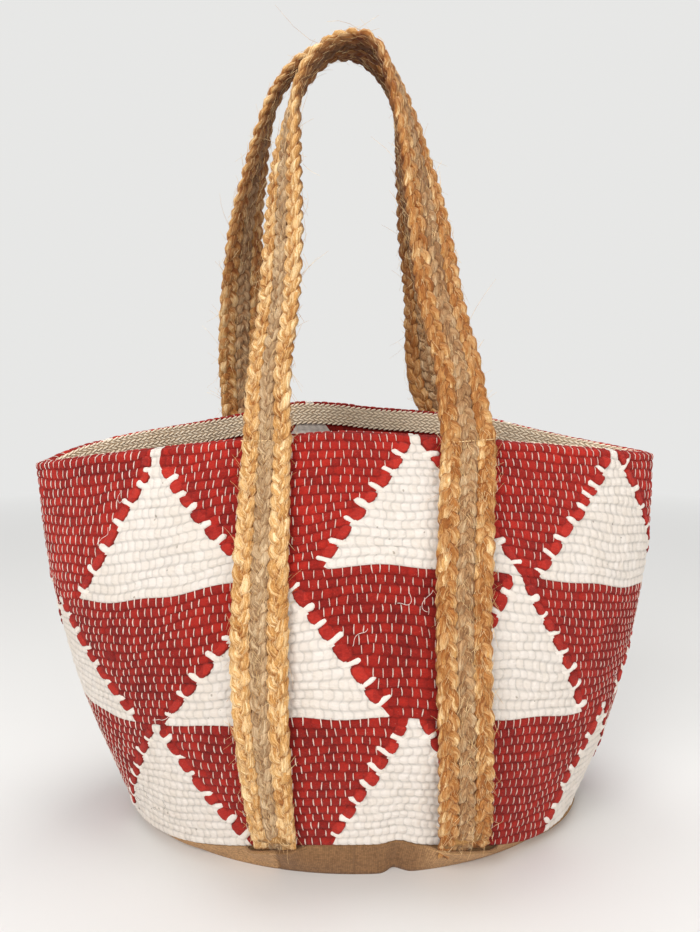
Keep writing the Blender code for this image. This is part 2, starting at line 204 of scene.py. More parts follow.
def swept(centres: Array, up: Array, half_width: Array, half_height: Array,
          sides: int, swelling: Array | float = 1.0) -> tuple[Array, Faces]:
    """Sweep closed tubes with oval sections along many paths at once.

    A ring's points are c + s (w cos(a) side + h sin(a) up), with side at right angles to
    the path and to up, and each end is one flat face.

    Args:
        centres: The paths, as (tubes, rings, 3).
        up: The direction of each section's height, in the same shape.
        half_width: The sections' half widths, as (tubes, rings) or one for all.
        half_height: The sections' half heights, likewise.
        sides: How many points a ring has.
        swelling: A factor s on each point's reach, as (tubes, rings, sides).

    Returns:
        The points as (all, 3), and the faces.
    """
    tangent = unit(np.gradient(centres, axis=1))
    side = unit(np.cross(up, tangent))
    rise = np.cross(tangent, side)
    angle = FULL_TURN * np.arange(sides) / sides
    wide = swelling * np.asarray(half_width)[..., None] * np.cos(angle)
    high = swelling * np.asarray(half_height)[..., None] * np.sin(angle)
    points = (centres[:, :, None, :] + wide[..., None] * side[:, :, None, :]
              + high[..., None] * rise[:, :, None, :])
    tubes, rings = centres.shape[:2]
    ring = np.arange(sides)[None, :]
    blocks = (grid_faces(rings, sides, wrap_columns=True, flip=True), ring[:, ::-1],
              (rings - 1) * sides + ring)
    return points.reshape(-1, 3), [repeated(block, tubes, rings * sides) for block in blocks]


def dress(pieces: Sequence[Piece], replaced: str | None = None) -> None:
    """Hang pieces on the bag's body and log them.

    Args:
        pieces: The finished pieces.
        replaced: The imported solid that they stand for, if there is one.
    """
    for piece in pieces:
        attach(piece, BODY)
        if replaced:
            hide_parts(replaced)
        piece.data.calc_loop_triangles()
        LOG.info("%s: %d triangles", piece.name, len(piece.data.loop_triangles))


# Finishes

# The numbered sockets of a colour mix
MIX_FACTOR, MIX_FIRST, MIX_SECOND, MIX_RESULT = 0, 6, 7, 2


@dataclass(frozen=True)
class Term:
    """A number or colour in a node tree, which adds and multiplies as plain numbers do."""

    nodes: "Nodes"
    socket: bpy.types.NodeSocket

    def __add__(self, other: "Value") -> "Term":
        """Add a value."""
        return self.nodes.math("ADD", self, other)

    def __mul__(self, other: "Value") -> "Term":
        """Multiply by a value."""
        return self.nodes.math("MULTIPLY", self, other)

    def floor(self) -> "Term":
        """Round down."""
        return self.nodes.math("FLOOR", self)

    def ridge(self) -> "Term":
        """Give |sin(pi x)|, a ridge between each two whole numbers."""
        return self.nodes.math("ABSOLUTE", self.nodes.math("SINE", self * math.pi))

    def spread(self, low: float, high: float, to_low: float = 0.0, to_high: float = 1.0) -> "Term":
        """Carry the number from one range to another, clamped."""
        ends = {"From Min": low, "From Max": high, "To Min": to_low, "To Max": to_high}
        return self.nodes.add("MapRange", {"Value": self, **ends}, "Result", clamp=True)


Value = Term | float | tuple


class Nodes:
    """A small hand for wiring one material or world."""

    def __init__(self, owner: Material | bpy.types.World) -> None:
        """Switch on the owner's nodes and find their shader.

        Args:
            owner: The material or world.
        """
        self.owner = owner
        owner.use_nodes = True
        self.tree = owner.node_tree
        self.shader = self.tree.nodes.get("Principled BSDF") or self.tree.nodes["Background"]

    def plug(self, value: Value, socket: bpy.types.NodeSocket) -> None:
        """Set a socket.

        Args:
            value: A term to link, a tuple with terms to join to a vector, or a plain value.
            socket: The input that gets it.
        """
        if isinstance(value, tuple) and any(isinstance(part, Term) for part in value):
            value = self.add("CombineXYZ", dict(enumerate(value)))
        if isinstance(value, Term):
            self.tree.links.new(value.socket, socket)
        else:
            socket.default_value = (*value, 1.0) if isinstance(value, tuple) else value

    def add(self, kind: str, inputs: dict[int | str, Value] | None = None, output: int | str = 0,
            **settings: object) -> Term:
        """Add a node.

        Args:
            kind: Its type, without the word ShaderNode in front.
            inputs: The values of its sockets, by number or name.
            output: The number or name of the output that is read.
            settings: Its options.

        Returns:
            The output.
        """
        node = self.tree.nodes.new("ShaderNode" + kind)
        for key, value in settings.items():
            setattr(node, key, value)
        for key, value in (inputs or {}).items():
            self.plug(value, node.inputs[key])
        return Term(self, node.outputs[output])

    def math(self, operation: str, first: Value, second: Value = 0.0) -> Term:
        """Work out one operation on one or two numbers."""
        return self.add("Math", {0: first, 1: second}, operation=operation)

    def mix(self, factor: Value, first: Value, second: Value, blend: str = "MIX") -> Term:
        """Mix two colours."""
        return self.add("Mix", {MIX_FACTOR: factor, MIX_FIRST: first, MIX_SECOND: second}, MIX_RESULT,
                        data_type="RGBA", blend_type=blend, clamp_factor=True)

    def tinted(self, colour: Value, tint: Value) -> Term:
        """Multiply a colour by another, or by a shade of grey."""
        return self.mix(1.0, colour, tint, "MULTIPLY")

    def uv(self) -> tuple[Term, Term]:
        """Read the piece's own UV places as two numbers."""
        place = self.add("UVMap", output="UV", uv_map="cloth")
        return self.add("SeparateXYZ", {0: place}, 0), self.add("SeparateXYZ", {0: place}, 1)

    def place(self) -> Term:
        """Read the place on the object."""
        return self.add("TexCoord", output="Object")

    def value(self, name: str) -> Term:
        """Read a named number of the mesh."""
        return self.add("Attribute", output="Fac", attribute_name=name)

    def noise(self, vector: Value, scale: float, detail: float = 2.0, roughness: float = 0.5) -> Term:
        """Read soft noise, from about 0 to 1."""
        inputs = {"Vector": vector, "Scale": scale, "Detail": detail, "Roughness": roughness}
        return self.add("TexNoise", inputs, "Fac")

    def cell(self, *vector: Value) -> Term:
        """Read one random number for each whole place."""
        return self.add("TexWhiteNoise", {"Vector": vector}, "Value", noise_dimensions="3D")

    def seen_directly(self) -> Term:
        """Tell the rays that show the backdrop: camera, glossy and transmission rays."""
        camera, glossy, through = (self.add("LightPath", output=kind) for kind in (
            "Is Camera Ray", "Is Glossy Ray", "Is Transmission Ray"))
        return self.math("MAXIMUM", self.math("MAXIMUM", camera, glossy), through)

    def show(self, share: Value, other: Term) -> None:
        """Send a mix of the shader and another one to the output.

        Args:
            share: The other shader's share.
            other: The other shader.
        """
        surface = self.add("MixShader", {0: share, 1: Term(self, self.shader.outputs[0]), 2: other})
        output = next(node for node in self.tree.nodes if node.name.endswith("Output"))
        self.plug(surface, output.inputs["Surface"])

    def finish(self, colour: Value, roughness: float, sheen: float, height: Term,
               bump: tuple[float, float]) -> Material:
        """Set the shader's colour, surface and plain values.

        Args:
            colour: The base colour.
            roughness: How matt the surface is.
            sheen: How much velvety light it gives.
            height: The height that raises it.
            bump: The bump's strength, and its distance in metres.

        Returns:
            The material.
        """
        inputs = {"Strength": bump[0], "Distance": bump[1], "Height": height}
        for key, value in (("Base Color", colour), ("Roughness", roughness), ("Sheen Weight", sheen),
                           ("Specular IOR Level", 0.25), ("Normal", self.add("Bump", inputs, "Normal"))):
            self.plug(value, self.shader.inputs[key])
        return self.owner


@dataclass(frozen=True)
class CottonWeave:
    """Red and white cotton weft, coloured by the pattern's edge distance."""

    name: str = "red_and_white_cotton"
    red_deep: Colour = (0.200, 0.008, 0.006)
    red: Colour = (0.530, 0.023, 0.012)
    lint: Colour = (0.66, 0.22, 0.18)
    white_dull: Colour = (0.80, 0.705, 0.605)
    white: Colour = (0.87, 0.797, 0.727)
    fleck: Colour = (0.34, 0.27, 0.20)
    # Painted shade: how dark the crevices between the lumps make the red and the white.
    red_crevice_shade: float = 0.56
    white_crevice_shade: float = 0.70
    lower_red: float = 0.84

    def material(self) -> Material:
        """Wire the finish: each lump of weft has its own tone and streaks along the weft.

        The red of the second and third band is a little deeper than the first, and both
        colours are darkened in the crevices between the lumps by painted shade.

        Returns:
            The material.
        """
        nodes = Nodes(bpy.data.materials.new(self.name))
        u, v = nodes.uv()
        place, row = nodes.place(), v.floor()
        offset = nodes.math("MODULO", nodes.math("ABSOLUTE", row), 2.0) * -0.5
        lump = nodes.cell((u + offset).floor(), row, 3.0)
        streaks = nodes.noise((u * 2.6, v * 9.0, lump * 9.0), 1.0, 4.0, 0.7)
        fluff = nodes.noise(place, 430.0, 4.0, 0.75)
        tone = streaks * 0.55 + lump * 0.26 + fluff * 0.50 + nodes.noise(place, 21.0) * 0.42
        red = nodes.mix(tone.spread(0.60, 1.10), self.red_deep, self.red)
        red = nodes.tinted(red, v.spread(16.5, 17.5, 1.0, self.lower_red))
        specks = nodes.noise(place, 1150.0, 1.0).spread(0.70, 0.80, 0.0, 0.40)
        red = nodes.mix(specks, red, self.lint)
        white = nodes.mix(tone.spread(0.50, 1.10), self.white_dull, self.white)
        seeds = nodes.noise(place, 300.0, 0.0).spread(0.82, 0.85, 0.0, 0.65)
        white = nodes.mix(seeds, white, self.fleck)
        white_here = nodes.value("edge").spread(-0.02, 0.02)
        # Painted shade: the weft's height (lift) darkens both colours in the crevices between the lumps.
        depth = nodes.value("lift").spread(0.30, 0.80)
        shades = nodes.mix(white_here, *(depth.spread(0.0, 1.0, crevice_shade, 1.0) for crevice_shade in (
            self.red_crevice_shade, self.white_crevice_shade)))
        colour = nodes.tinted(nodes.mix(white_here, red, white), shades)
        return nodes.finish(colour, 0.95, 0.04, streaks + fluff * 1.6, (0.75, 0.0012))


@dataclass(frozen=True)
class CottonThread:
    """A plain thread or fibre of one colour, with fine streaks: warp, tape, core and loose ends."""

    name: str
    dull: Colour
    bright: Colour
    grain: float = 700.0
    dull_below: float = 0.30
    bright_above: float = 0.80

    def material(self) -> Material:
        """Wire the finish from two scales of noise.

        Returns:
            The material.
        """
        nodes = Nodes(bpy.data.materials.new(self.name))
        place = nodes.place()
        tone = nodes.noise(place, self.grain) * 0.5 + nodes.noise(place, 90.0) * 0.6
        colour = nodes.mix(tone.spread(self.dull_below, self.bright_above), self.dull, self.bright)
        return nodes.finish(colour, 0.95, 0.05, nodes.noise(place, self.grain, 3.0), (0.5, 0.0006))


@dataclass(frozen=True)
class JuteFinish:
    """Plaited jute: fibres along the strand, in streaks from brown to pale straw."""

    name: str
    brown: Colour
    middle: Colour
    pale: Colour
    rust: Colour
    rust_from: float = 0.60
    # Painted shade tint for the crevices between the strands.
    crevice_shade: Colour = (0.50, 0.32, 0.19)
    # Painted shade tint for the strap's inner face near the arch, where it faces down.
    inner_face: Colour = (0.36, 0.25, 0.18)

    def material(self) -> Material:
        """Wire the finish; u runs along the strand in metres, v once round it.

        The mesh gives each strand a number, each stretch between two crossings a random
        leaf tone, the browner stretches their warmth and shade (rust mixed with painted
        shade on the right legs), the height over the crevices as lift for painted crevice
        shade, and under for painted shade on the strap's inner face near the arch.

        Returns:
            The material.
        """
        nodes = Nodes(bpy.data.materials.new(self.name))
        u, v = nodes.uv()
        strand, leaf = nodes.value("strand"), nodes.value("leaf")
        wander = nodes.noise((u * 170.0, v * 5.0, strand), 1.0, 3.0)
        around = v * 15.0 + strand * 17.0 + u * 190.0 + wander * 4.2
        bundle = around.floor()
        piece = (u * 140.0 + nodes.cell(bundle, strand, 1.0) * 7.0).floor()
        ridge = nodes.math("POWER", around.ridge(), 0.6)
        fibres = nodes.noise((u * 130.0, around * 1.9, strand), 1.0, 4.0, 0.7)
        tone = fibres * 1.05 + nodes.cell(bundle, piece, strand) * 0.42 + ridge * 0.14 + leaf * 0.10
        tone = tone + nodes.noise(nodes.place(), 900.0, 3.0, 0.7) * 0.45
        low = nodes.mix(tone.spread(0.74, 1.04), self.brown, self.middle)
        colour = nodes.mix(tone.spread(1.02, 1.36), low, self.pale)
        stain = nodes.noise((u * 60.0, around * 0.5, strand), 1.0)
        # This value mixes rust with painted shade on the right legs.
        stain = stain + nodes.value("warmth") * 0.13 + leaf * -0.05
        rusty = stain.spread(self.rust_from - 0.08, self.rust_from + 0.12, 0.0, 0.85)
        colour = nodes.mix(rusty, colour, nodes.tinted(colour, self.rust))
        # Painted shade: the strand's height over the crevices (lift) darkens the colour between the strands.
        lift = nodes.value("lift").spread(0.06, 0.76)
        colour = nodes.mix(lift, nodes.tinted(colour, self.crevice_shade), colour)
        # Painted shade: under darkens the strap's inner face towards the arch.
        colour = nodes.mix(nodes.value("under"), colour, nodes.tinted(colour, self.inner_face))
        return nodes.finish(colour, 0.78, 0.05, tone + ridge * 0.4, (0.75, 0.0010))


@dataclass(frozen=True)
class CanvasFinish:
    """Plain jute canvas: u and v are metres along the cloth's two threads."""

    threads_per_metre: float = 1.0 / 0.0012
    dark: Colour = (0.095, 0.040, 0.0140)
    light: Colour = (0.250, 0.124, 0.050)
    sunlit: Colour = (0.67, 0.385, 0.172)

    def material(self) -> Material:
        """Wire the finish: each crossing of the plain weave has its own tone.

        Returns:
            The material.
        """
        nodes = Nodes(bpy.data.materials.new("base_canvas"))
        u, v = nodes.uv()
        bend = nodes.noise(nodes.place(), 60.0) * 1.6
        across, down = (place * self.threads_per_metre + bend for place in (u, v))
        crossing = nodes.cell(across.floor(), down.floor(), 2.0)
        weft = nodes.noise((u * 90.0, v * 1400.0, 0.0), 1.0)
        warp = nodes.noise((u * 1400.0, v * 90.0, 4.0), 1.0)
        tone = weft * 0.45 + warp * 0.45 + crossing * 0.36 + across.ridge() * down.ridge() * 0.38
        tone = tone + nodes.noise(nodes.place(), 150.0, 3.0) * 0.30
        # Painted light: tint mixes in the sunlit colour where the base is lit.
        light = nodes.mix(nodes.value("tint"), self.light, self.sunlit)
        return nodes.finish(nodes.mix(tone.spread(0.38, 1.22), self.dark, light), 0.88, 0.05, tone,
                            (0.6, 0.0006))


# The bag's shape


class Side(Enum):
    """The two faces of the bag, by the sign of Y."""

    FRONT = -1
    BACK = 1


@dataclass
class WallShape:
    """The smooth wall of the bag, between the base seam (level 0) and the rim (level 1)."""

    offset: tuple[float, float] = (0.0, 0.0)
    levels: tuple[float, ...] = (0.0, 0.32, 0.65, 1.0)
    half_widths: tuple[float, ...] = (0.1700, 0.2040, 0.2228, 0.2305)
    half_depths: tuple[float, ...] = (0.1100, 0.1200, 0.0967, 0.0590)
    pinches: tuple[float, ...] = (1.09, 1.35, 1.31, 1.36)
    middles: tuple[float, float] = (0.0062, -0.0013)
    seam_middle_height: float = 0.0265
    seam_side_height: float = 0.0055
    front_rim_height: float = 0.2810
    back_rim_height: float = 0.2980
    left_corner_height: float = 0.2560
    right_corner_height: float = 0.2630
    rim_sag_power: float = 1.3
    hump_places: tuple[float, ...] = (-1.0, -0.95, -0.84, -0.65, -0.49, -0.30, -0.167, -0.09, 0.0, 0.30,
                                      0.55, 0.70, 1.0)
    hump_heights: tuple[float, ...] = (0.0, 0.0035, 0.0058, 0.0052, 0.0042, 0.0046, 0.0062, 0.0038,
                                       0.0006, 0.0015, 0.0034, 0.0010, 0.0)
    seam_drop_power: float = 3.0
    seam_gap: float = 0.0003
    pucker_place: float = 0.16
    pucker_breadth: float = 0.05
    pucker_height: float = 0.0030
    pucker_fade: float = 0.07
    turn_steps: int = 1440
    level_steps: int = 24
    table: Array = field(init=False)

    def __post_init__(self) -> None:
        """Tabulate the outline's angle over even shares of its length, at each level."""
        turn = np.linspace(0.0, FULL_TURN, self.turn_steps + 1)
        shares = np.linspace(0.0, 1.0, self.turn_steps + 1)
        lines = []
        for level in np.linspace(0.0, 1.0, self.level_steps + 1):
            width, depth, pinch = self.size(level)
            run = run_along(np.column_stack((width * np.sin(turn), self.pinched(turn, depth, pinch))))
            lines.append(np.interp(shares, run / run[-1], turn))
        self.table = np.array(lines)

    def size(self, level: Array) -> tuple[Array, ...]:
        """Give the half width, half depth and side pinch at a level."""
        return tuple(smooth_through(self.levels, values, level)
                     for values in (self.half_widths, self.half_depths, self.pinches))

    def pinched(self, turn: Array, depth: Array, pinch: Array) -> Array:
        """Give the outline's y towards the front, b cos(t)^pinch with the cosine's sign."""
        return depth * np.sign(np.cos(turn)) * np.abs(np.cos(turn)) ** pinch

    def middle(self, level: Array) -> Array:
        """Give the place of the wall's middle along X at a level: the bag leans a little."""
        return self.offset[0] + self.middles[0] + (self.middles[1] - self.middles[0]) * level

    def foot_middle(self) -> Array:
        """Give the middle of the base on the ground."""
        return np.array((self.middle(0.0), self.offset[1], 0.0))

    def height(self, width_share: Array, side: Array, level: Array) -> Array:
        """Give the height above the ground.

        The rim falls from each side's middle to the corners by |s|^sag, and the seam
        from its middle to the ends by 1 - (1 - s^2)^drop, for a width share s. The back
        rim has a few humps, and in front the seam has one low bell-shaped pucker, which
        fades upwards as exp(-level / fade).

        Args:
            width_share: The place across the bag, from -1 to 1.
            side: Below 0 on the front, above 0 on the back.
            level: From the seam (0) to the rim (1).

        Returns:
            The height in metres.
        """
        middle = np.where(side < 0, self.front_rim_height, self.back_rim_height)
        corner = np.where(width_share < 0, self.left_corner_height, self.right_corner_height)
        rim = middle - (middle - corner) * np.abs(width_share) ** self.rim_sag_power
        rim = rim + (side > 0) * smooth_through(self.hump_places, self.hump_heights, width_share)
        lift = np.clip(1.0 - width_share**2, 0.0, 1.0) ** self.seam_drop_power
        seam_rise = self.seam_middle_height - self.seam_side_height
        foot = self.seam_side_height + seam_rise * lift + self.seam_gap
        pucker = self.pucker_height * bell(width_share, self.pucker_place, self.pucker_breadth) * (side < 0)
        return foot + (rim - foot) * level + pucker * np.exp(-np.maximum(level, 0.0) / self.pucker_fade)

    def angle(self, share: Array, level: Array) -> Array:
        """Read the outline's angle between the table's lines and columns.

        Args:
            share: The share of the outline's length.
            level: From the seam (0) to the rim (1).

        Returns:
            The angle in radians.
        """
        across = np.mod(share, 1.0) * self.turn_steps
        up = np.clip(level, 0.0, 1.0) * self.level_steps
        column = np.minimum(across.astype(int), self.turn_steps - 1)
        line = np.minimum(up.astype(int), self.level_steps - 1)
        right, above = across - column, up - line
        low, high = (self.table[at, column] * (1.0 - right) + self.table[at, column + 1] * right
                     for at in (line, line + 1))
        return low * (1.0 - above) + high * above

    def point(self, share: Array, level: Array, inset: Array | float = 0.0) -> Array:
        """Give a point of the wall: x = m + a sin t, y = -b cos(t)^pinch, moved in by an inset.

        Args:
            share: The share of the way round, from the front middle towards +X.
            level: From the seam (0) to the rim (1).
            inset: How far the point lies inside the wall.

        Returns:
            Points in the shape of share, with three coordinates each.
        """
        width, depth, pinch = self.size(level)
        turn = self.angle(share, level)
        x = self.middle(level) + (width - inset * (1.0 + level)) * np.sin(turn)
        y = -self.pinched(turn, depth - inset, pinch)
        return np.stack((x, y + self.offset[1], self.height(np.sin(turn), y, level)), axis=-1)

    def outward(self, share: Array, level: Array) -> Array:
        """Give the wall's outward direction, from steps round it and up it.

        Args:
            share: The share of the way round.
            level: From the seam (0) to the rim (1).

        Returns:
            Directions of length one.
        """
        step_round, step_up = 0.0007, 0.01
        low, high = np.clip(level - step_up, 0.0, 1.0), np.clip(level + step_up, 0.0, 1.0)
        around = self.point(share + step_round, level) - self.point(share - step_round, level)
        return unit(np.cross(around, self.point(share, high) - self.point(share, low)))

    def face_point(self, x: Array, level: Array, side: Side) -> Array:
        """Give a point of the front or back face at a given x.

        Args:
            x: The place along X.
            level: From the seam (0) to the rim (1).
            side: The face.

        Returns:
            Points with three coordinates each.
        """
        width, depth, pinch = self.size(level)
        share = (x - self.middle(level)) / width
        y = side.value * depth * (1.0 - share**2) ** (0.5 * pinch)
        return np.stack((x, y + self.offset[1], self.height(share, y, level)), axis=-1)

    def leg(self, x: Array, side: Side, levels: Array, proud: float) -> tuple[Array, Array]:
        """Give a line up one face.

        Args:
            x: Its places along X.
            side: The face.
            levels: Its levels.
            proud: How far it stands off the wall.

        Returns:
            The line's points and its outward directions.
        """
        step = 0.0020
        across = self.face_point(x + step, levels, side) - self.face_point(x - step, levels, side)
        up = self.face_point(x, levels + step, side) - self.face_point(x, levels - step, side)
        outward = unit(np.cross(across, up))
        outward *= np.sign(outward[:, 1:2] * side.value)
        return self.face_point(x, levels, side) + outward * proud, outward


@dataclass(frozen=True)
class Drift:
    """A soft random field on the cloth: seeded sine waves, whole numbers of them round the bag."""

    seed: int
    reach: float
    most_round: int = 14
    most_down: float = 4.0
    waves: int = 9

    def at(self, u: Array, v: Array) -> Array:
        """Read the field: reach times the sum of its waves over (waves / 2)^0.5.

        A wave is sin(2 pi (k u / units + m v / rows) + phase), with a whole number k.

        Args:
            u: Warp units round the bag.
            v: Weft rows from the rim down.

        Returns:
            The field's values.
        """
        draw = np.random.default_rng(self.seed)
        total = np.zeros(np.broadcast(u, v).shape)
        for turns, climbs, phase in zip(draw.integers(1, self.most_round, self.waves),
                                        draw.uniform(-self.most_down, self.most_down, self.waves),
                                        draw.uniform(0.0, FULL_TURN, self.waves)):
            total += np.sin(FULL_TURN * (turns * u / UNITS + climbs * v / ROWS) + phase)
        return self.reach * total / math.sqrt(0.5 * self.waves)


@dataclass
class Cloth:
    """The map from weave coordinates to the bag, with the hand weaver's unevenness."""

    wall: WallShape
    height: float = 0.0058 * ROWS
    thickness: float = 0.0050
    sideways: Drift = Drift(seed=3, reach=0.10)
    downwards: Drift = Drift(seed=5, reach=0.10, most_round=18)
    swell: Drift = Drift(seed=8, reach=0.0006, most_round=9, most_down=3.0)
    stretch_rows: tuple[float, ...] = (0.0, 15.0, 30.0, 45.0)
    stretch_shares: tuple[float, ...] = (0.0, 1.0, 0.35, 0.0)
    stretch_middle: float = 8.0
    stretch_gain: float = 3.2
    stretch_loss: float = 0.8

    def stretch(self, u: Array, v: Array) -> Array:
        """Give the rows that the upper band gains towards the sides and loses in the middle.

        They are (gain sin^2(2 pi (u - m) / units) - loss) times the share for the row.

        Args:
            u: Warp units round the bag.
            v: Weft rows from the rim down.

        Returns:
            The gained rows.
        """
        turn = FULL_TURN * (u - self.stretch_middle) / UNITS
        rows = self.stretch_gain * np.sin(turn) ** 2 - self.stretch_loss
        return rows * smooth_through(self.stretch_rows, self.stretch_shares, v)

    def spot(self, u: Array, v: Array) -> tuple[Array, Array, Array, Array]:
        """Give the wall's share, level, inset and fold angle for weave coordinates.

        Above the fold row the cloth turns over the rim on a half circle of half its
        thickness: inset = r (1 - cos a), and the level falls by r (1 - sin a).

        Args:
            u: Warp units round the bag.
            v: Weft rows from the rim down.

        Returns:
            Share, level, inset and fold angle, in the shape of u and v together.
        """
        hold = np.clip(v / 3.0, 0.0, 1.0) * np.clip((ROWS - v) / 2.0, 0.0, 1.0)
        row = v + self.stretch(u, v) + hold * self.downwards.at(u, v)
        radius = 0.5 * self.thickness
        arc = np.maximum(radius - row * self.height / ROWS, 0.0)
        angle = np.minimum(arc / radius, math.pi)
        past = np.maximum(arc - math.pi * radius, 0.0)
        folded = 1.0 - (radius * (1.0 - np.sin(angle)) + past) / self.height
        level = np.where(arc > 0.0, folded, 1.0 - row / ROWS)
        return (u + self.sideways.at(u, v)) / UNITS, level, radius * (1.0 - np.cos(angle)), angle

    def place(self, u: Array, v: Array, proud: Array | float) -> Array:
        """Give points on the cloth.

        Args:
            u: Warp units round the bag.
            v: Weft rows from the rim down.
            proud: Height over the cloth, in metres.

        Returns:
            The points.
        """
        share, level, inset, _ = self.spot(u, v)
        rise = proud + self.swell.at(u, v) * np.clip(v / 4.0, 0.0, 1.0)
        return self.wall.point(share, level, inset) + self.outward(u, v) * rise[..., None]

    def outward(self, u: Array, v: Array) -> Array:
        """Give the cloth's outward direction, which turns upwards over the rim.

        Args:
            u: Warp units round the bag.
            v: Weft rows from the rim down.

        Returns:
            Directions of length one.
        """
        share, level, _, angle = self.spot(u, v)
        turned = np.cos(angle)[..., None] * self.wall.outward(share, level)
        turned[..., 2] += np.sin(angle)
        return unit(turned)

    def inside(self, u: Array, v: Array, proud: Array) -> Array:
        """Give points on the inner face, a height over it towards the bag's middle."""
        share, level = (u + self.sideways.at(u, v)) / UNITS, 1.0 - (v + self.stretch(u, v)) / ROWS
        return self.wall.point(share, level, self.thickness + proud)


@dataclass(frozen=True)
class TrianglePattern:
    """Three bands of upright white triangles on red, with stepped slanting edges.

    Each triangle is its point's place and its left and right foot, in warp units. An edge
    is named by its band, its triangle's number and its side's sign. Seen steps are rows
    read off the photograph, and a late row is where an edge stops being upright.
    """

    bands: tuple[tuple[tuple[float, float, float], ...], ...] = (
        ((-22.8, -33.4, -9.8), (8.4, -2.5, 19.3), (34.4, 21.5, 46.0),
         (62.0, 51.5, 73.0), (91.3, 80.5, 102.0), (120.5, 110.0, 131.0)),
        ((-38.3, -51.5, -25.6), (-7.2, -21.2, 4.2), (18.8, 9.5, 28.3),
         (47.8, 36.5, 59.0), (75.2, 64.0, 86.5), (103.2, 92.0, 114.5)),
        ((-22.6, -35.5, -13.0), (6.6, -2.8, 15.5), (33.6, 26.5, 43.5),
         (61.1, 50.5, 72.0), (89.5, 79.0, 100.5), (119.4, 108.5, 130.0)),
    )
    seen_steps: tuple[tuple[int, int, float, tuple[float, ...]], ...] = (
        (0, 0, -1.0, (2.3, 3.9, 5.7, 7.4, 9.6, 11.8, 14.0)),
        (0, 0, 1.0, (3.6, 5.1, 6.8, 8.7, 10.6, 12.5, 14.3)),
        (0, 1, -1.0, (2.6, 4.6, 6.7, 8.7, 10.6, 12.6, 14.3)),
        (0, 2, -1.0, (2.5, 4.2, 5.4, 6.7, 8.6, 10.7, 12.6, 14.3)),
    )
    late_rows: tuple[tuple[int, int, float, float], ...] = (
        (0, 0, -1.0, 3.2), (0, 0, 1.0, 1.8), (2, 1, -1.0, 0.4), (2, 1, 1.0, 0.4), (1, 2, 1.0, 0.5))
    band_rows: int = 15
    rim_rows: float = 3.0
    point_reach: float = 0.62
    point_row: float = 1.0
    rows_per_step: float = 1.95

    def edges(self) -> list[tuple[int, int, float, float, float, float]]:
        """List the slanting edges, the left and the right one of each triangle in turn.

        Returns:
            Band, triangle's number, side, point in units, units that the edge moves out
            in a row, and the row where it starts to slant.
        """
        late = {tuple(edge): row for *edge, row in self.late_rows}
        found = []
        for band, triangles in enumerate(self.bands):
            for number, (point, left, right) in enumerate(triangles):
                for sign, foot in ((-1.0, left), (1.0, right)):
                    first = late.get((band, number, sign), self.point_row)
                    slope = (abs(foot - point) - self.point_reach) / (self.band_rows - first)
                    found.append((band, number, sign, point, slope, first))
        return found

    def edge(self, u: Array, v: Array, feet: bool = True) -> Array:
        """Measure how far inside a white triangle a place is, in units; red is below 0.

        It is the most over all triangles of min(way to the left edge, way to the right
        edge, rows to the foot, rows to the top).

        Args:
            u: Warp units round the bag.
            v: Weft rows from the rim down.
            feet: Whether the triangles' feet and tops count; else only a band's own rows.

        Returns:
            The signed distance.
        """
        best = np.full(np.broadcast(u, v).shape, -float(UNITS))
        edges = self.edges()
        for (band, _, _, point, left, left_first), (*_, right, right_first) in zip(edges[::2], edges[1::2]):
            below = v - band * self.band_rows
            row = np.clip(below, 0.0, self.band_rows)
            above = self.rim_rows * (band == 0)
            ends = np.minimum(self.band_rows - below, below + above)
            if not feet:
                ends = np.where((below > -above) & (below < self.band_rows), UNITS, -UNITS)
            away = np.mod(u - point + 0.5 * UNITS, UNITS) - 0.5 * UNITS
            to_left = self.point_reach + left * np.maximum(row - left_first, 0.0) + away
            to_right = self.point_reach + right * np.maximum(row - right_first, 0.0) - away
            best = np.maximum(best, np.minimum(np.minimum(to_left, to_right), ends))
        return best

    def line(self, points: Array, slopes: Array, firsts: Array, row: Array) -> Array:
        """Give the units where an edge lies at a row: p +- (reach + slope max(row - first, 0))."""
        return points + np.sign(slopes) * (self.point_reach + np.abs(slopes) * np.maximum(row - firsts, 0.0))

    def steps(self) -> Array:
        """List the steps of all slanting edges, at the rows seen in the photo or evenly spread.

        Returns:
            Six lines with a number for each step: the triangle's point in units, the
            edge's slope with the sign of its side, the row where it starts to slant, the
            band's first row, the step's row in it, and the row of the step before.
        """
        draw = np.random.default_rng(29)
        seen = {tuple(edge): rows for *edge, rows in self.seen_steps}
        steps = []
        for band, number, sign, point, slope, first in self.edges():
            even = np.arange(2.0, self.band_rows - 0.4, self.rows_per_step)
            even = even + draw.uniform(-0.22, 0.22, len(even)) + draw.uniform(-0.1, 0.3)
            rows = np.array(seen.get((band, number, sign), even))
            steps += [(point, sign * slope, first, band * self.band_rows, row, before)
                      for row, before in zip(rows, np.append(rows[0] - 1.6, rows[:-1]))]
        return np.array(steps).T


# The bag's pieces


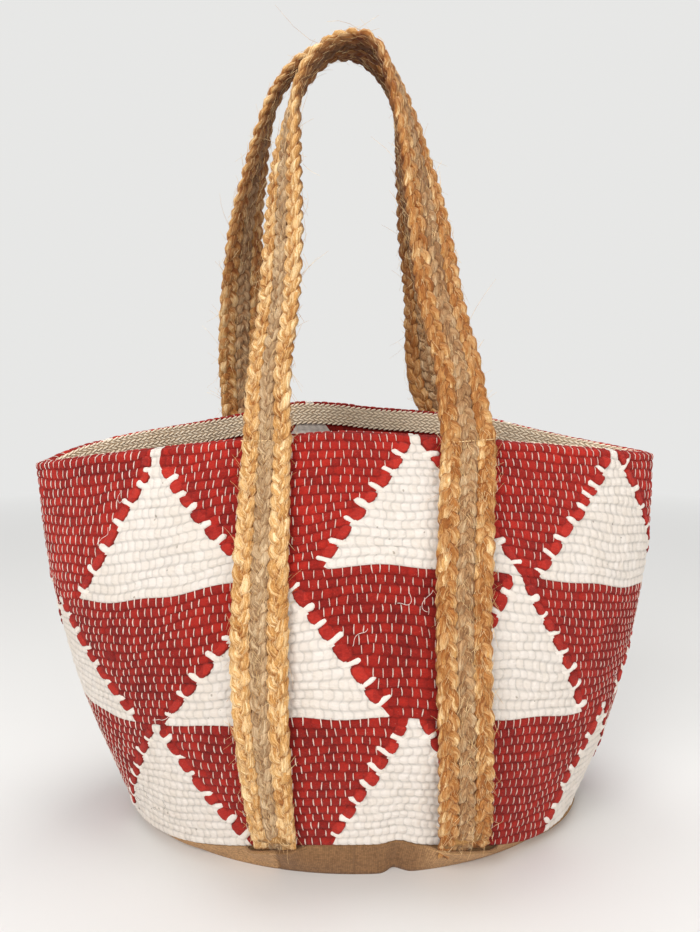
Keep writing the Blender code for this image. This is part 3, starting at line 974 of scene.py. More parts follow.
@dataclass
class WovenWall:
    """The woven body: its outer face in two halves, its inner face and what lies in the weave."""

    cloth: Cloth
    pattern: TrianglePattern
    column_phases: tuple[float, ...] = (0.0, 0.18, 0.50, 0.82)
    row_phases: tuple[float, ...] = (0.0, 0.22, 0.50, 0.78)
    inner_phases: tuple[float, ...] = (0.0, 0.5)
    weft_depth: float = 0.0018
    weft_sink: float = 0.0008
    seed: int = 11
    warp_shift: float = 0.075
    row_shift: float = 0.10
    row_waves: int = 19
    half_cut: tuple[float, float] = (0.485, 0.275)
    warp_sink: float = 0.00020
    warp_rise: float = 0.00056
    thinnest_warp: float = 0.00032
    thickest_warp: float = 0.00052
    loop_height: float = 0.0031
    loop_sink: float = 0.0005
    loop_root: float = 0.0014
    loop_power: float = 4.2
    finger_sink: float = 0.0019
    finger_tip_drop: float = 0.0005
    finger_half_width: float = 0.00225

    def relief(self, phase_u: Array, phase_v: Array, whiteness: Array, uneven: Array) -> Array:
        """Give the weave's height as a share of the weft's depth.

        Red weft is a soft round thread, 0.50 + 0.50 (1 - |2 q - 1|^2.6)^0.5 for a row
        phase q, with a notch of 0.15 units where the warp crosses it. White weft is a
        row of pillows, round in both directions.

        Args:
            phase_u: The place in the warp unit, 0 to 1.
            phase_v: The place in the row, 0 to 1.
            whiteness: 1 in white weft and 0 in red.
            uneven: A random share for each lump, 0 to 1.

        Returns:
            Heights from 0 to about 1.
        """
        across = np.clip(1.0 - np.abs(2.0 * phase_v - 1.0) ** 2.6, 0.0, 1.0) ** 0.5
        along = np.clip(1.0 - np.abs(2.0 * phase_u - 1.0) ** 3.0, 0.0, 1.0) ** 0.5
        notch = bell(np.minimum(phase_u, 1.0 - phase_u), 0.0, 0.15)
        red = (0.50 + 0.50 * across) * (1.0 - 0.36 * notch)
        white = (0.48 + 0.52 * across) * (0.62 + 0.38 * along)
        return (red + (white - red) * whiteness) * (0.78 + (0.28 + 0.08 * whiteness) * uneven)

    def weave_grid(self, first_unit: int, last_unit: int, first_row: int, column_phases: Sequence[float],
                   row_phases: Sequence[float]) -> tuple[Array, Array, Array, Array]:
        """Lay out a grid that follows the bricks of the weave, down to the seam.

        Odd rows are moved by half a unit, and the groove between two rows by a quarter.

        Args:
            first_unit: The unit where the grid starts.
            last_unit: The unit where it ends.
            first_row: The row where it starts.
            column_phases: Places of the columns in a unit.
            row_phases: Places of the grid's lines in a row.

        Returns:
            u, v, and the relief's height and the pattern's edge distance on the grid.
        """
        units = np.arange(first_unit, last_unit)[:, None] + np.array(column_phases)
        columns = np.append(units.ravel(), float(last_unit))
        rows = np.arange(first_row, ROWS)[:, None] + np.array(row_phases)
        lines = np.append(rows.ravel(), float(ROWS))[:, None]
        row, unit_number = np.floor(lines + 1e-6), np.floor(columns + 1e-6)
        phase_v = lines - row
        u = columns + np.where(phase_v < 1e-3, 0.25, 0.5 * np.mod(row, 2))
        v = lines + 0.0 * columns
        draw = np.random.default_rng(self.seed).random((ROWS + 3, UNITS))
        uneven = draw[row.astype(int) % (ROWS + 3), unit_number.astype(int) % UNITS]
        edge = self.pattern.edge(u, v)
        height = self.relief(np.abs(columns - unit_number), phase_v, np.clip(edge * 4.0, 0.0, 1.0), uneven)
        return u, v, height, edge

    def handwork(self, u: Array, v: Array) -> tuple[Array, Array]:
        """Shift the weave's places a little, as hand weaving does, the same way every time.

        The shift along the weft is a random share for each row and unit, mixed along the
        unit by (1 - p) s0 + p s1, and the one along the warp is a wave with a whole number
        of turns round the bag, whose beginning belongs to the row.

        Args:
            u: Warp units round the bag.
            v: Weft rows from the rim down.

        Returns:
            The shifted u and v.
        """
        draw = np.random.default_rng(self.seed + 5)
        shifts = draw.normal(0.0, self.warp_shift, (ROWS + 3, UNITS))
        begins = draw.uniform(0.0, FULL_TURN, ROWS + 3)
        row = np.floor(v + 1e-6).astype(int) % (ROWS + 3)
        unit_place = u - 0.5 * np.mod(row, 2)
        number = np.floor(unit_place).astype(int)
        phase = unit_place - number
        shift_u = (1.0 - phase) * shifts[row, number % UNITS] + phase * shifts[row, (number + 1) % UNITS]
        inside = np.minimum(np.clip(v, 0.0, 1.0), np.clip(ROWS - v, 0.0, 1.0))
        wave = np.sin(FULL_TURN * self.row_waves / UNITS * u + begins[row] * 0.35 + 0.9 * row)
        return u + shift_u, v + self.row_shift * inside * wave

    def face(self, name: str, grid: tuple[Array, ...], inner: bool, material: Material) -> Piece:
        """Build one woven face.

        Args:
            name: The piece's name.
            grid: What weave_grid gave.
            inner: Whether it is the closed inner face or a half of the outer one.
            material: Its finish.

        Returns:
            The piece.
        """
        u, v, height, edge = grid
        proud = height * self.weft_depth - self.weft_sink
        points = self.cloth.inside(u, v, proud) if inner else self.cloth.place(*self.handwork(u, v), proud)
        # The relief's height goes out as lift, the mask of the painted crevice shade.
        return make_piece(name, points, [grid_faces(*u.shape, wrap_columns=inner, flip=inner)], material,
                          uv=np.stack((u, v + 2.0), axis=-1), values={"edge": edge, "lift": height})

    def faces(self, material: Material) -> list[Piece]:
        """Build the outer face's two halves, with the rim turned over, and the inner face.

        Args:
            material: Their finish.

        Returns:
            Front, back and inner face.
        """
        half = UNITS // 2
        pieces = [self.face(name, self.weave_grid(first, first + half, -1, self.column_phases,
                                                  self.row_phases), False, material)
                  for name, first in (("woven_front", -half // 2), ("woven_back", -half // 2 + half))]
        grid = self.weave_grid(0, UNITS, 0, self.inner_phases, self.inner_phases)
        inner = self.face("woven_inner_face", tuple(values[:, :-1] for values in grid), True, material)
        return [*pieces, inner]

    def warp_stitches(self, material: Material) -> Piece:
        """Build the warp threads that cross the red weft, one short arch for each crossing.

        An arch stands h0 + h sin(pi (0.06 + 0.88 t)) over the cloth, with t from 0 to 1.

        Args:
            material: Their finish.

        Returns:
            The threads as one piece.
        """
        draw = np.random.default_rng(self.seed + 1)
        row, number = np.meshgrid(np.arange(-1.0, ROWS), np.arange(float(UNITS)), indexing="ij")
        row, u = row.ravel(), (number + 0.5 * np.mod(row, 2)).ravel()
        red = self.pattern.edge(u, row + 0.5) < -0.1
        clear = self.pattern.edge(u, row + 0.5, feet=False) < -1.35
        keep = red & clear & (draw.random(len(u)) > 0.012)
        u, row = u[keep, None], row[keep, None]
        t = np.linspace(0.0, 1.0, 4)[None, :]
        lean, bow = draw.normal(0.0, 0.032, u.shape), draw.normal(0.0, 0.022, u.shape)
        top = np.where(self.pattern.edge(u, row - 0.4) > 0.0, -0.20, 0.10) + draw.normal(0.0, 0.05, u.shape)
        bottom = 0.90 + draw.normal(0.0, 0.05, u.shape)
        along_u = u + lean * (2.0 * t - 1.0) + bow * np.sin(math.pi * t)
        along_v = row + top + (bottom - top) * t
        arch = np.sin(math.pi * (0.06 + 0.88 * t))
        proud = self.warp_sink + self.warp_rise * arch * (1.0 + draw.normal(0.0, 0.10, u.shape))
        moved_u, moved_v = self.handwork(u + 1e-6, row + 0.5)
        centres = self.cloth.place(along_u + moved_u - u, along_v + moved_v - row - 0.5, proud)
        thick = draw.uniform(self.thinnest_warp, self.thickest_warp, u.shape) * (0.62 + 0.38 * arch)
        shape = swept(centres, self.cloth.outward(along_u, along_v), thick, 0.8 * thick, 3)
        return make_piece("warp_threads", *shape, material)

    def weft_turns(self, material: Material) -> list[Piece]:
        """Build the turned weft at the slanting edges: soft red loops and thick white fingers.

        Args:
            material: Their finish.

        Returns:
            The loops and the fingers.
        """
        draw = np.random.default_rng(self.seed + 2)
        turns = []
        for name, shape, edge in (("red_weft_turns", self.loop_domes(draw), -1.0),
                                  ("white_weft_turns", self.fingers(draw), 1.0)):
            points, faces, spots, lift = shape
            turns.append(make_piece(name, points, faces, material, uv=spots,
                                    values={"edge": np.full(lift.shape, edge), "lift": lift}))
        return turns

    def loop_domes(self, draw: np.random.Generator) -> tuple[Array, Faces, Array, Array]:
        """Build the red loops as closed domes that fill the edge between two fingers.

        An outline is the superellipse |x|^p + |y|^p = 1, with x along the fingers,
        out of the white and upwards, and y along the edge; near a triangle's point the
        loops keep out of its neck by exp(-((row - first) / 1.6)^2). The height is
        h (1 - rho^4)^0.5 over its rings and falls to a third away from the white, so
        that the loop runs on into the red weft.

        Args:
            draw: Where the unevenness comes from.

        Returns:
            Points, faces, UV places and lifts.
        """
        line, slope, first, top, row, before = self.pattern.steps()[:, :, None, None]
        count = len(row)
        each = (count, 1, 1)
        rings, around = 6, 14
        rho = np.linspace(0.0, 1.0, rings)[None, :, None]
        turn = FULL_TURN * np.arange(around) / around
        size = (np.abs(np.cos(turn)) ** self.loop_power
                + np.abs(np.sin(turn)) ** self.loop_power) ** (-1.0 / self.loop_power)
        x, y = rho * size * np.cos(turn), rho * size * np.sin(turn)
        half_rows = (0.5 * (row - before) - 0.20) * draw.uniform(0.94, 1.08, each)
        row = 0.5 * (row + before) + draw.normal(0.0, 0.05, each)
        reach = draw.uniform(0.62, 0.80, each)
        out = reach * (0.36 + 0.40 * bell(row, first, 1.6)) + reach * x + draw.normal(0.0, 0.07, each)
        along = row + half_rows * y
        u = self.pattern.line(line, slope, first, along) + np.sign(slope) * out
        v = top + along - draw.normal(0.40, 0.10, each) * out
        crease = 1.0 - 0.14 * bell(y, draw.uniform(-0.3, 0.3, each), 0.20)
        height = self.loop_height * (1.0 - rho**4) ** 0.5 * crease * (0.66 - 0.34 * x)
        domes = self.cloth.place(u, v, height - self.loop_sink).reshape(count, -1, 3)
        root = self.cloth.place(u[:, 0, :1], v[:, 0, :1], np.full((count, 1), -self.loop_root))
        points = np.concatenate((domes, root), axis=1)
        per_loop = points.shape[1]
        ring, last = np.arange(around), (rings - 1) * around
        following = (ring + 1) % around
        fan = np.stack((0 * ring, around + ring, around + following), axis=-1)
        floor = np.stack((0 * ring + per_loop - 1, last + following, last + ring), axis=-1)
        mirrored = np.repeat(slope.ravel() > 0, per_loop)
        faces: Faces = []
        for block in (grid_faces(rings, around, wrap_columns=True)[around:], np.concatenate((fan, floor))):
            block = repeated(block, count, per_loop)
            turned = mirrored[block[:, 0]]
            faces += [block[turned], block[~turned][:, ::-1]]
        spots = np.stack((u, v + 2.0), axis=-1).reshape(count, -1, 2)
        spots = np.concatenate((spots, spots[:, :1]), axis=1)
        # Painted shade: lift falls at the loop's rim and along its crease, so the finish darkens them.
        lift = np.clip(1.15 * (1.0 - rho**3) ** 0.7, 0.0, 1.0) * crease * (0.92 - 0.08 * x)
        lift = np.concatenate((lift.reshape(count, -1), np.zeros((count, 1))), axis=1)
        return points, faces, spots, lift

    def fingers(self, draw: np.random.Generator) -> tuple[Array, Faces, Array, Array]:
        """Build the white fingers between the loops: thick blunt tubes that go on from the white.

        A finger starts under the white, leaves the edge and ends about a unit outside it,
        a little higher. Its half width falls as w (1 - 0.88 e^4)^0.5 to its tip, with e
        from 0 to 1 over the last third.

        Args:
            draw: Where the unevenness comes from.

        Returns:
            Points, faces, UV places and lifts.
        """
        line, slope, first, top, row, _ = self.pattern.steps()[:, :, None]
        each, rings, sides = row.shape, 9, 10
        t = np.linspace(0.0, 1.0, rings)[None, :]
        row = np.minimum(row, self.pattern.band_rows - 0.36)
        root = self.pattern.line(line, slope, first, row)
        length = draw.uniform(0.80, 1.36, each)
        rise = np.clip(draw.normal(0.42, 0.18, each), 0.08, 0.85)
        reach = -1.0 + (length + 1.0) * t
        u = root + np.sign(slope) * reach
        v = top + row - np.maximum(reach + 0.30, 0.0) * rise
        climb = np.clip((reach + 0.9) / 0.9, 0.0, 1.0) ** 0.7
        proud = self.finger_sink * (climb - 1.0) - self.finger_tip_drop * t**6
        blunt = np.sqrt(1.0 - 0.88 * np.clip((t - 0.66) / 0.34, 0.0, 1.0) ** 4)
        uneven = draw.uniform(0.70, 1.18, each) * (1.0 + 0.09 * np.sin(9.0 * t + root))
        wide = self.finger_half_width * blunt * uneven
        centres, up = self.cloth.place(u, v, proud), self.cloth.outward(u, v)
        points, faces = swept(centres, up, wide, 0.78 * wide, sides)
        # Painted shade: lift is lower on the finger's side towards the cloth, which the finish darkens.
        upward = np.sin(FULL_TURN * np.arange(sides) / sides)
        lift = np.broadcast_to(np.clip(0.66 + 0.5 * upward, 0.2, 1.0), (*u.shape, sides))
        spots = np.repeat(np.stack((u, v + 2.0), axis=-1)[:, :, None, :], sides, axis=2)
        return points, faces, spots, lift

    def build(self, weave: Material, warp: Material, turned: Material) -> None:
        """Build and dress the whole body, which takes the imported woven body's place.

        Args:
            weave: The finish of the woven faces.
            warp: The finish of the warp threads.
            turned: The finish of the turned weft.
        """
        front, back, inner = self.faces(weave)
        threads = [self.warp_stitches(warp), *self.weft_turns(turned)]
        width, height = self.half_cut
        2.0 * width
        dress((front, back, inner, *threads), "woven_body")


@dataclass
class RimTape:
    """The herringbone tape inside the mouth: a plain band with rows of slanted floats on it."""

    cloth: Cloth
    width: float = 0.0164
    thickness: float = 0.0013
    contact_gap: float = 0.0003
    girth: float = 0.92
    columns: int = 480
    top_margin: float = 0.0012
    foot_margin: float = 0.0008
    float_rows: int = 7
    float_pitch: float = 0.0042
    float_length: float = 0.0050
    float_drop: float = 0.0023
    float_bulge: float = 0.0004
    float_half_width: float = 0.00085
    float_half_height: float = 0.00060
    top_places: tuple[float, ...] = (-0.218, -0.165, -0.125, 0.100, 0.140, 0.222)
    top_drops: tuple[float, ...] = (-0.0014, -0.0014, -0.0004, -0.0002, -0.0014, -0.0014)

    def face(self, share: Array, drop: Array, proud: Array | float) -> tuple[Array, Array]:
        """Give points on the tape and its directions towards the middle of the bag.

        Args:
            share: Shares of the way round.
            drop: How far below the tape's top edge.
            proud: Height over the tape's back.

        Returns:
            Points and directions.
        """
        wall = self.cloth.wall
        top = smooth_through(self.top_places, self.top_drops, wall.point(share, np.ones_like(share))[..., 0])
        level = 1.0 - (top + drop) / self.cloth.height
        points = wall.point(share, level, self.cloth.thickness + self.contact_gap + proud)
        return points, -wall.outward(share, np.minimum(level, 0.99))

    def band(self) -> tuple[Array, Faces]:
        """Build the closed plain band behind the floats.

        Returns:
            Points and faces.
        """
        lines = 6
        share = np.broadcast_to(np.arange(self.columns) / self.columns, (lines, self.columns))
        drop = np.linspace(self.top_margin, self.width - self.foot_margin, lines)[:, None] + 0.0 * share
        face, _ = self.face(share, drop, 0.6 * self.thickness)
        back, _ = self.face(share[:2], drop[::lines - 1], 0.0)
        points = np.concatenate((face, back[::-1]))
        return points, [grid_faces(len(points), self.columns, wrap_rows=True, wrap_columns=True, flip=True)]

    def floats(self) -> tuple[Array, Faces]:
        """Build the floats: lens-shaped threads that fall and rise in turn, row by row.

        A float's width is w (1 - t^2)^0.6 from end to end, and each row starts two fifths
        of a pitch further on than the one above.

        Returns:
            Points and faces.
        """
        draw = np.random.default_rng(17)
        count = round(self.girth / self.float_pitch)
        row, number = (values.reshape(-1, 1) for values in np.meshgrid(
            np.arange(self.float_rows), np.arange(count), indexing="ij"))
        t = np.linspace(-1.0, 1.0, 5)[None, :]
        share = (number + 0.42 * row + draw.normal(0.0, 0.03, row.shape)) / count
        share = share + 0.5 * self.float_length / self.girth * t
        fall = 0.5 * self.float_drop * (1.0 - 2.0 * np.mod(row, 2)) * t
        taper = np.clip(1.0 - t**2, 0.02, 1.0) ** 0.6 * draw.uniform(0.88, 1.12, row.shape)
        centres, up = self.face(share, (row + 0.5) * self.width / self.float_rows + fall,
                                0.8 * self.thickness + self.float_bulge * (1.0 - t**2))
        return swept(centres, up, self.float_half_width * taper, self.float_half_height * taper, 5)

    def build(self, ground: Material, thread: Material) -> None:
        """Build and dress the band and its floats.

        Args:
            ground: The band's finish.
            thread: The floats' finish.
        """
        band = make_piece("rim_tape_band", *self.band(), ground)
        floats = make_piece("rim_tape_floats", *self.floats(), thread)
        dress((band, floats), "rim_tape")


@dataclass
class BasePanel:
    """The shallow canvas dish under the weave, with gathers, two creases and a pucker.

    A crease is its place and depth, and a hem place its side, place and breadth.
    """

    wall: WallShape
    floor_thickness: float = 0.0030
    band_thickness: float = 0.0030
    foot_inset: float = 0.0090
    bulge_inset: float = 0.0027
    gather_depth: float = 0.0012
    gather_count: int = 9
    creases: tuple[tuple[float, float], ...] = ((-0.0415, 0.0020), (0.0705, 0.0012))
    crease_breadth: float = 0.0009
    pucker_place: float = 0.0335
    pucker_breadth: float = 0.0060
    pucker_depth: float = 0.0060
    fold_depth: float = 0.0006
    fold_breadth: float = 0.016
    fold_radians_per_metre: float = 1100.0
    hem_places: tuple[tuple[float, float, float], ...] = (
        (-1.0, -0.0437, 0.0175), (-1.0, 0.0745, 0.0215), (1.0, -0.0790, 0.0210), (1.0, 0.0770, 0.0210))
    hem_rise: float = 0.0076
    columns: int = 720
    floor_shrinks: tuple[float, ...] = (0.94, 0.75, 0.5, 0.25, 0.02)
    sunlit_places: tuple[float, ...] = (-0.0425, -0.0415, 0.045, 0.060)
    sunlit_shares: tuple[float, ...] = (0.80, 0.12, 0.12, 0.80)

    def pull(self, share: Array, height_share: Array, x: Array, front: Array) -> Array:
        """Give how far the band is drawn in.

        The gathers are g (1 + sin(2 pi n s)), a crease is d exp(-|x - c| / b), and the
        pucker is a bell round its place, strongest at the foot, with fine folds beside
        it. At the seam the band stands out over the straps' ends by
        r h^1.6 exp(-|(x - c) / b|^6).

        Args:
            share: Shares of the way round.
            height_share: From the ground (0) to the seam (1).
            x: The places along X.
            front: Whether a place is on the front.

        Returns:
            The way in metres.
        """
        bulge = 4.0 * height_share * (1.0 - height_share)
        drawn = self.gather_depth * (1.0 + np.sin(FULL_TURN * self.gather_count * share)) * bulge
        for place, depth in self.creases:
            drawn = drawn + front * depth * np.exp(-np.abs(x - place) / self.crease_breadth) * (bulge + 0.2)
        for side, place, breadth in self.hem_places:
            over_strap = np.exp(-np.abs((x - self.wall.offset[0] - place) / breadth) ** 6)
            drawn = drawn - self.hem_rise * (front == (side < 0)) * over_strap * height_share**1.6
        pucker = self.pucker_depth * bell(x, self.pucker_place, self.pucker_breadth) * (1.0 - height_share)
        folds = self.fold_depth * np.sin(self.fold_radians_per_metre * x)
        folds = folds * bell(x, self.pucker_place, self.fold_breadth) * bulge
        return drawn + front * (pucker + folds)

    def ring(self, share: Array, height_share: Array, inset: Array) -> Array:
        """Give rings of the band: the seam's outline drawn in, and pulled in by its folds.

        Args:
            share: Shares of the way round, as one line.
            height_share: From the ground (0) to the seam (1), for each ring.
            inset: How far each ring lies inside the seam.

        Returns:
            Points as (rings, columns, 3).
        """
        share = np.broadcast_to(share, (len(height_share), len(share)))
        rings = self.wall.point(share, np.zeros_like(share), inset[:, None])
        middle = self.wall.foot_middle()
        pull = self.pull(share, height_share[:, None], rings[..., 0], rings[..., 1] < middle[1])
        rings = (rings - middle) * (1.0 - pull / self.wall.half_depths[0])[..., None] + middle
        turn = self.wall.angle(share, 0.0 * share)
        seam = self.wall.height(np.sin(turn), -np.cos(turn), 0.0 * share) - self.wall.seam_gap
        rings[..., 2] = seam * height_share[:, None]
        return rings

    def build(self, material: Material) -> None:
        """Build the closed dish: outer band, seam edge, inner band, floor and underside.

        Args:
            material: The canvas.
        """
        share = np.arange(self.columns) / self.columns
        up, inner_up = np.linspace(0.0, 1.0, 10), np.linspace(1.0, 0.15, 4)
        insets = smooth_through((0.0, 0.5, 1.0), (self.foot_inset, self.bulge_inset, 0.0), up)
        outer = self.ring(share, up, insets)
        inner = self.ring(share, inner_up, self.band_thickness + self.foot_inset * (1.0 - inner_up))
        middle = self.wall.foot_middle()
        shrinks = np.array(self.floor_shrinks)[:, None, None]
        under = (outer[:1] - middle) * shrinks[::-1] + middle
        top = under[::-1] * np.array((1.0, 1.0, 0.0)) + np.array((0.0, 0.0, self.floor_thickness))
        points = np.concatenate((outer, inner, top, under))
        lines = np.concatenate((0.026 * up, 0.03 + 0.026 * inner_up, 0.06 + np.linspace(0.0, 0.5, 10)))
        uv = np.stack(np.broadcast_arrays(share[None, :] * 0.885, lines[:, None]), axis=-1)
        # tint marks the painted sunlit patches of the canvas along X.
        tint = np.interp(points[..., 0], self.sunlit_places, self.sunlit_shares)
        faces = [grid_faces(len(points), self.columns, wrap_rows=True, wrap_columns=True)]
        piece = make_piece("canvas_base", points, faces, material, uv=uv, values={"tint": tint})
        dress([piece], "base_panel")


@dataclass
class StrapLeg:
    """One leg of a strap: its places along X at the seam, half way and rim, and how it stands.

    Sways and twists belong to the strap's shares of the way from the rim to the arch, and
    breadths to its stations from the seam (0) over the rim (1) to the arch (2).
    """

    places: tuple[float, float, float]
    lean: float
    sways: tuple[float, ...]
    twists: tuple[float, ...]
    breadths: tuple[float, ...]


@dataclass
class StrapPath:
    """The way of one strap: up the wall, over as a handle, and down the same wall."""

    wall: WallShape
    side: Side
    legs: tuple[StrapLeg, StrapLeg]
    arch_x: float
    arch_height: float
    arch_plane_offset: float = 0.0200
    arch_plane_power: float = 1.3
    lean_power: float = 0.6
    round_top_sharpness: float = 4.0
    round_top_power: float = 0.42
    end_level: float = -0.005
    rim_level: float = 0.985
    shares: tuple[float, ...] = (0.0, 0.15, 0.35, 0.55, 0.75, 0.9, 1.0)
    breadth_stations: tuple[float, ...] = (0.0, 0.5, 1.0, 1.4, 2.0)
    leg_knots: int = 24
    standing_knots: int = 17
    steps_per_span: int = 12
    proud: float = 0.0017
    step: float = 0.0020
    path: Array = field(init=False)
    tangent: Array = field(init=False)
    outward: Array = field(init=False)
    across: Array = field(init=False)
    run: Array = field(init=False)
    breadth: Array = field(init=False)
    over_rim: Array = field(init=False)
    on_left: Array = field(init=False)

    def __post_init__(self) -> None:
        """Work out the path and the strap's outward and sideways directions along it.

        A leg turns about a quarter on its way up, smoothly through its twists in degrees,
        so that the strap lies flat over the arch.
        """
        levels = np.linspace(self.end_level, self.rim_level, self.leg_knots)
        walls = [self.wall.leg(self.wall.offset[0] + smooth_through((0.0, 0.5, 1.0), leg.places, levels),
                               self.side, levels, self.proud) for leg in self.legs]
        standing = [self.standing_leg(points[-1], leg) for (points, _), leg in zip(walls, self.legs)]
        knots = np.vstack((walls[0][0], standing[0], standing[1][-2::-1], walls[1][0][::-1]))
        self.path = even_spline(knots, self.steps_per_span, self.step)
        self.tangent = tangent = unit(np.gradient(self.path, axis=0))
        height = self.path[:, 2]
        self.on_left = np.arange(len(height)) < np.argmax(height)
        facing = np.where(self.on_left[:, None], *(np.column_stack(
            [np.interp(height, points[:, 2], outward[:, axis]) for axis in range(3)])
            for points, outward in walls))
        rim, foot = (np.where(self.on_left, *(points[end, 2] for points, _ in walls)) for end in (-1, 0))
        self.over_rim = height - rim
        share = np.clip(self.over_rim / (self.arch_height - rim), 0.0, 1.0)
        twist = np.radians(np.where(self.on_left, *(smooth_through(self.shares, leg.twists, share)
                                                    for leg in self.legs)))[:, None]
        around = np.column_stack((-tangent[:, 2], 0.0 * height, tangent[:, 0]))
        outward = np.cos(twist) * facing + np.sin(twist) * around
        self.outward = unit(outward - tangent * np.sum(outward * tangent, axis=1)[:, None])
        self.across = np.cross(tangent, self.outward) * -self.side.value
        self.run = run_along(self.path)
        station = np.clip((height - foot) / (rim - foot), 0.0, 1.0) + share
        self.breadth = np.where(self.on_left, *(smooth_through(self.breadth_stations, leg.breadths, station)
                                                for leg in self.legs))

    def standing_leg(self, rim_spot: Array, leg: StrapLeg) -> Array:
        """Give one standing leg from the rim to the arch's top.

        Its distance from the arch's middle shrinks by its lean and by a round top,
        (1 - h^sharpness)^power for a height share h, and its plane moves from the wall
        to the arch's plane as 1 - (1 - h)^power. Its sways are added along X.

        Args:
            rim_spot: Where the leg leaves the wall.
            leg: The leg's lean, the share of its distance that it loses, and its sways.

        Returns:
            The leg's knots.
        """
        share = np.sin(0.5 * math.pi * np.linspace(1.0 / self.standing_knots, 1.0, self.standing_knots))
        round_top = np.clip(1.0 - share**self.round_top_sharpness, 0.0, 1.0) ** self.round_top_power
        arch_x = self.arch_x + self.wall.offset[0]
        x = arch_x + (rim_spot[0] - arch_x) * (1.0 - leg.lean * share**self.lean_power) * round_top
        x = x + smooth_through(self.shares, leg.sways, share)
        plane = self.side.value * self.arch_plane_offset + self.wall.offset[1]
        y = rim_spot[1] + (plane - rim_spot[1]) * (1.0 - (1.0 - share) ** self.arch_plane_power)
        return np.column_stack((x, y, rim_spot[2] + (self.arch_height - rim_spot[2]) * share))


@dataclass
class Plait:
    """One flat plait of three soft strands, at its lane on a strap.

    The wavers are the radians per metre of the sines that make crossings and fatness uneven.
    """

    lane: float
    width: float
    crossing: float
    strand_share: float = 0.54
    thickness: float = 0.0080
    strand_thickness: float = 0.0050
    stitch_breadth: float = 0.0016
    end_squeeze: float = 0.012
    rusty_middle: float = 2.8
    fibre_winding: float = 0.030
    slow_waver: float = 61.0
    fast_waver: float = 143.0
    fat_waver: float = 95.0
    sides: int = 10

    def strands(self, strap: StrapPath, warmth: tuple[float, float], seed: int
                ) -> tuple[Array, Faces, Array, dict[str, Array]]:
        """Sweep the three strands.

        Strand k lies at x = a (sin q + 0.15 sin 3q) / 0.86, z = T / 2 + d sin(2 q), with q
        growing by a whole turn every three crossings and k thirds of a turn ahead, so
        that on top each strand runs from the middle to an edge. Its leaf between two
        dives has one tone. The stitch at the rim and the seam at the ends press it flat.

        Args:
            strap: The strap that the plait belongs to.
            warmth: How brown the left and right legs are, partly painted shade that darkens the right legs.
            seed: Where the unevenness comes from.

        Returns:
            Points, faces, UV places and the numbers that the finish reads.
        """
        draw = np.random.default_rng(seed)
        number = np.arange(3)[:, None]
        run, breadth = strap.run[None, :], strap.breadth[None, :]
        strand_width = self.strand_share * self.width
        swing = 0.5 * (self.width - 0.90 * strand_width)
        dive = 0.5 * (self.thickness - self.strand_thickness)
        uneven = 0.38 * np.sin(run * self.slow_waver + draw.uniform(0, 6))
        uneven = uneven + 0.24 * np.sin(run * self.fast_waver + draw.uniform(0, 6))
        turn = FULL_TURN / 3.0 * (run / self.crossing + number) + uneven + draw.uniform(0.0, FULL_TURN)
        leaf_number = np.floor((turn + 0.25 * math.pi) / math.pi).astype(int)
        leaf = draw.uniform(-1.0, 1.0, (3, leaf_number.max() + 1))[number, leaf_number]
        pressed = 0.30 * bell(strap.over_rim, 0.0, self.stitch_breadth)
        squeezed = 0.80 * bell(np.minimum(run, run.max() - run), 0.0, self.end_squeeze)
        flat = 1.0 - pressed - squeezed
        x = swing * (np.sin(turn) + 0.15 * np.sin(3.0 * turn)) / 0.86 * (1.0 + 0.03 * leaf)
        x = ((self.lane + x) * breadth)[..., None]
        z = (0.5 * self.thickness + dive * np.sin(2.0 * turn)) * flat
        centres = strap.path + strap.across * x + strap.outward * z[..., None]
        bank = 0.30 * np.cos(turn) * np.cos(2.0 * turn)
        up = unit(strap.outward + strap.across * bank[..., None])
        fat = 1.0 + 0.05 * np.sin(run * self.fat_waver + draw.uniform(0, 6, (3, 1))) + 0.04 * leaf
        half_width = 0.5 * strand_width * fat * breadth
        half_height = 0.5 * self.strand_thickness * fat * flat
        around = np.arange(self.sides) / self.sides
        winding = FULL_TURN * (3.0 * around + (run / self.fibre_winding + number)[..., None])
        swelling = 1.0 + 0.045 * np.sin(winding) + draw.normal(0.0, 0.022, winding.shape)
        points, faces = swept(centres, up, half_width, half_height, self.sides, swelling)
        strand = number + 3.0 * draw.uniform(0.0, 30.0)
        level = (z[..., None] + half_height[..., None] * np.sin(FULL_TURN * around)) / self.thickness
        level = level / flat[..., None]
        middle = 1.0 - np.abs(np.sin(turn))
        beside = 0.75 * (1.0 - middle[..., None]) ** 4
        # lift, the height over the crevices, sets the painted crevice shade in the finish.
        lift = np.clip(np.maximum(2.0 * np.abs(level - 0.5) - 0.15, beside) / 0.6, 0.0, 1.0)
        # Rust and painted shade: the right legs come out browner and darker, partly as painted shade; the
        # standing parts and the plait's middle are rustier too.
        warm_and_shade = np.where(strap.on_left, *warmth) + 0.40 * (strap.over_rim > 0.0)
        warm_and_shade = warm_and_shade + self.rusty_middle * (middle - 0.4)
        # under marks the strap's lower face near the arch for painted shade.
        to_arch = np.clip(strap.over_rim / strap.over_rim.max(), 0.0, 1.0)[:, None]
        under = np.clip((0.55 - level) / 0.2, 0.0, 1.0) * to_arch**0.8
        spread = np.ones_like(level)
        uv = np.stack((run[..., None] * spread, around * spread), axis=-1)
        values = {key: numbers[..., None] * spread for key, numbers in (
            ("strand", strand), ("leaf", leaf), ("warmth", warm_and_shade))}
        return points, faces, uv, {**values, "lift": lift, "under": under}


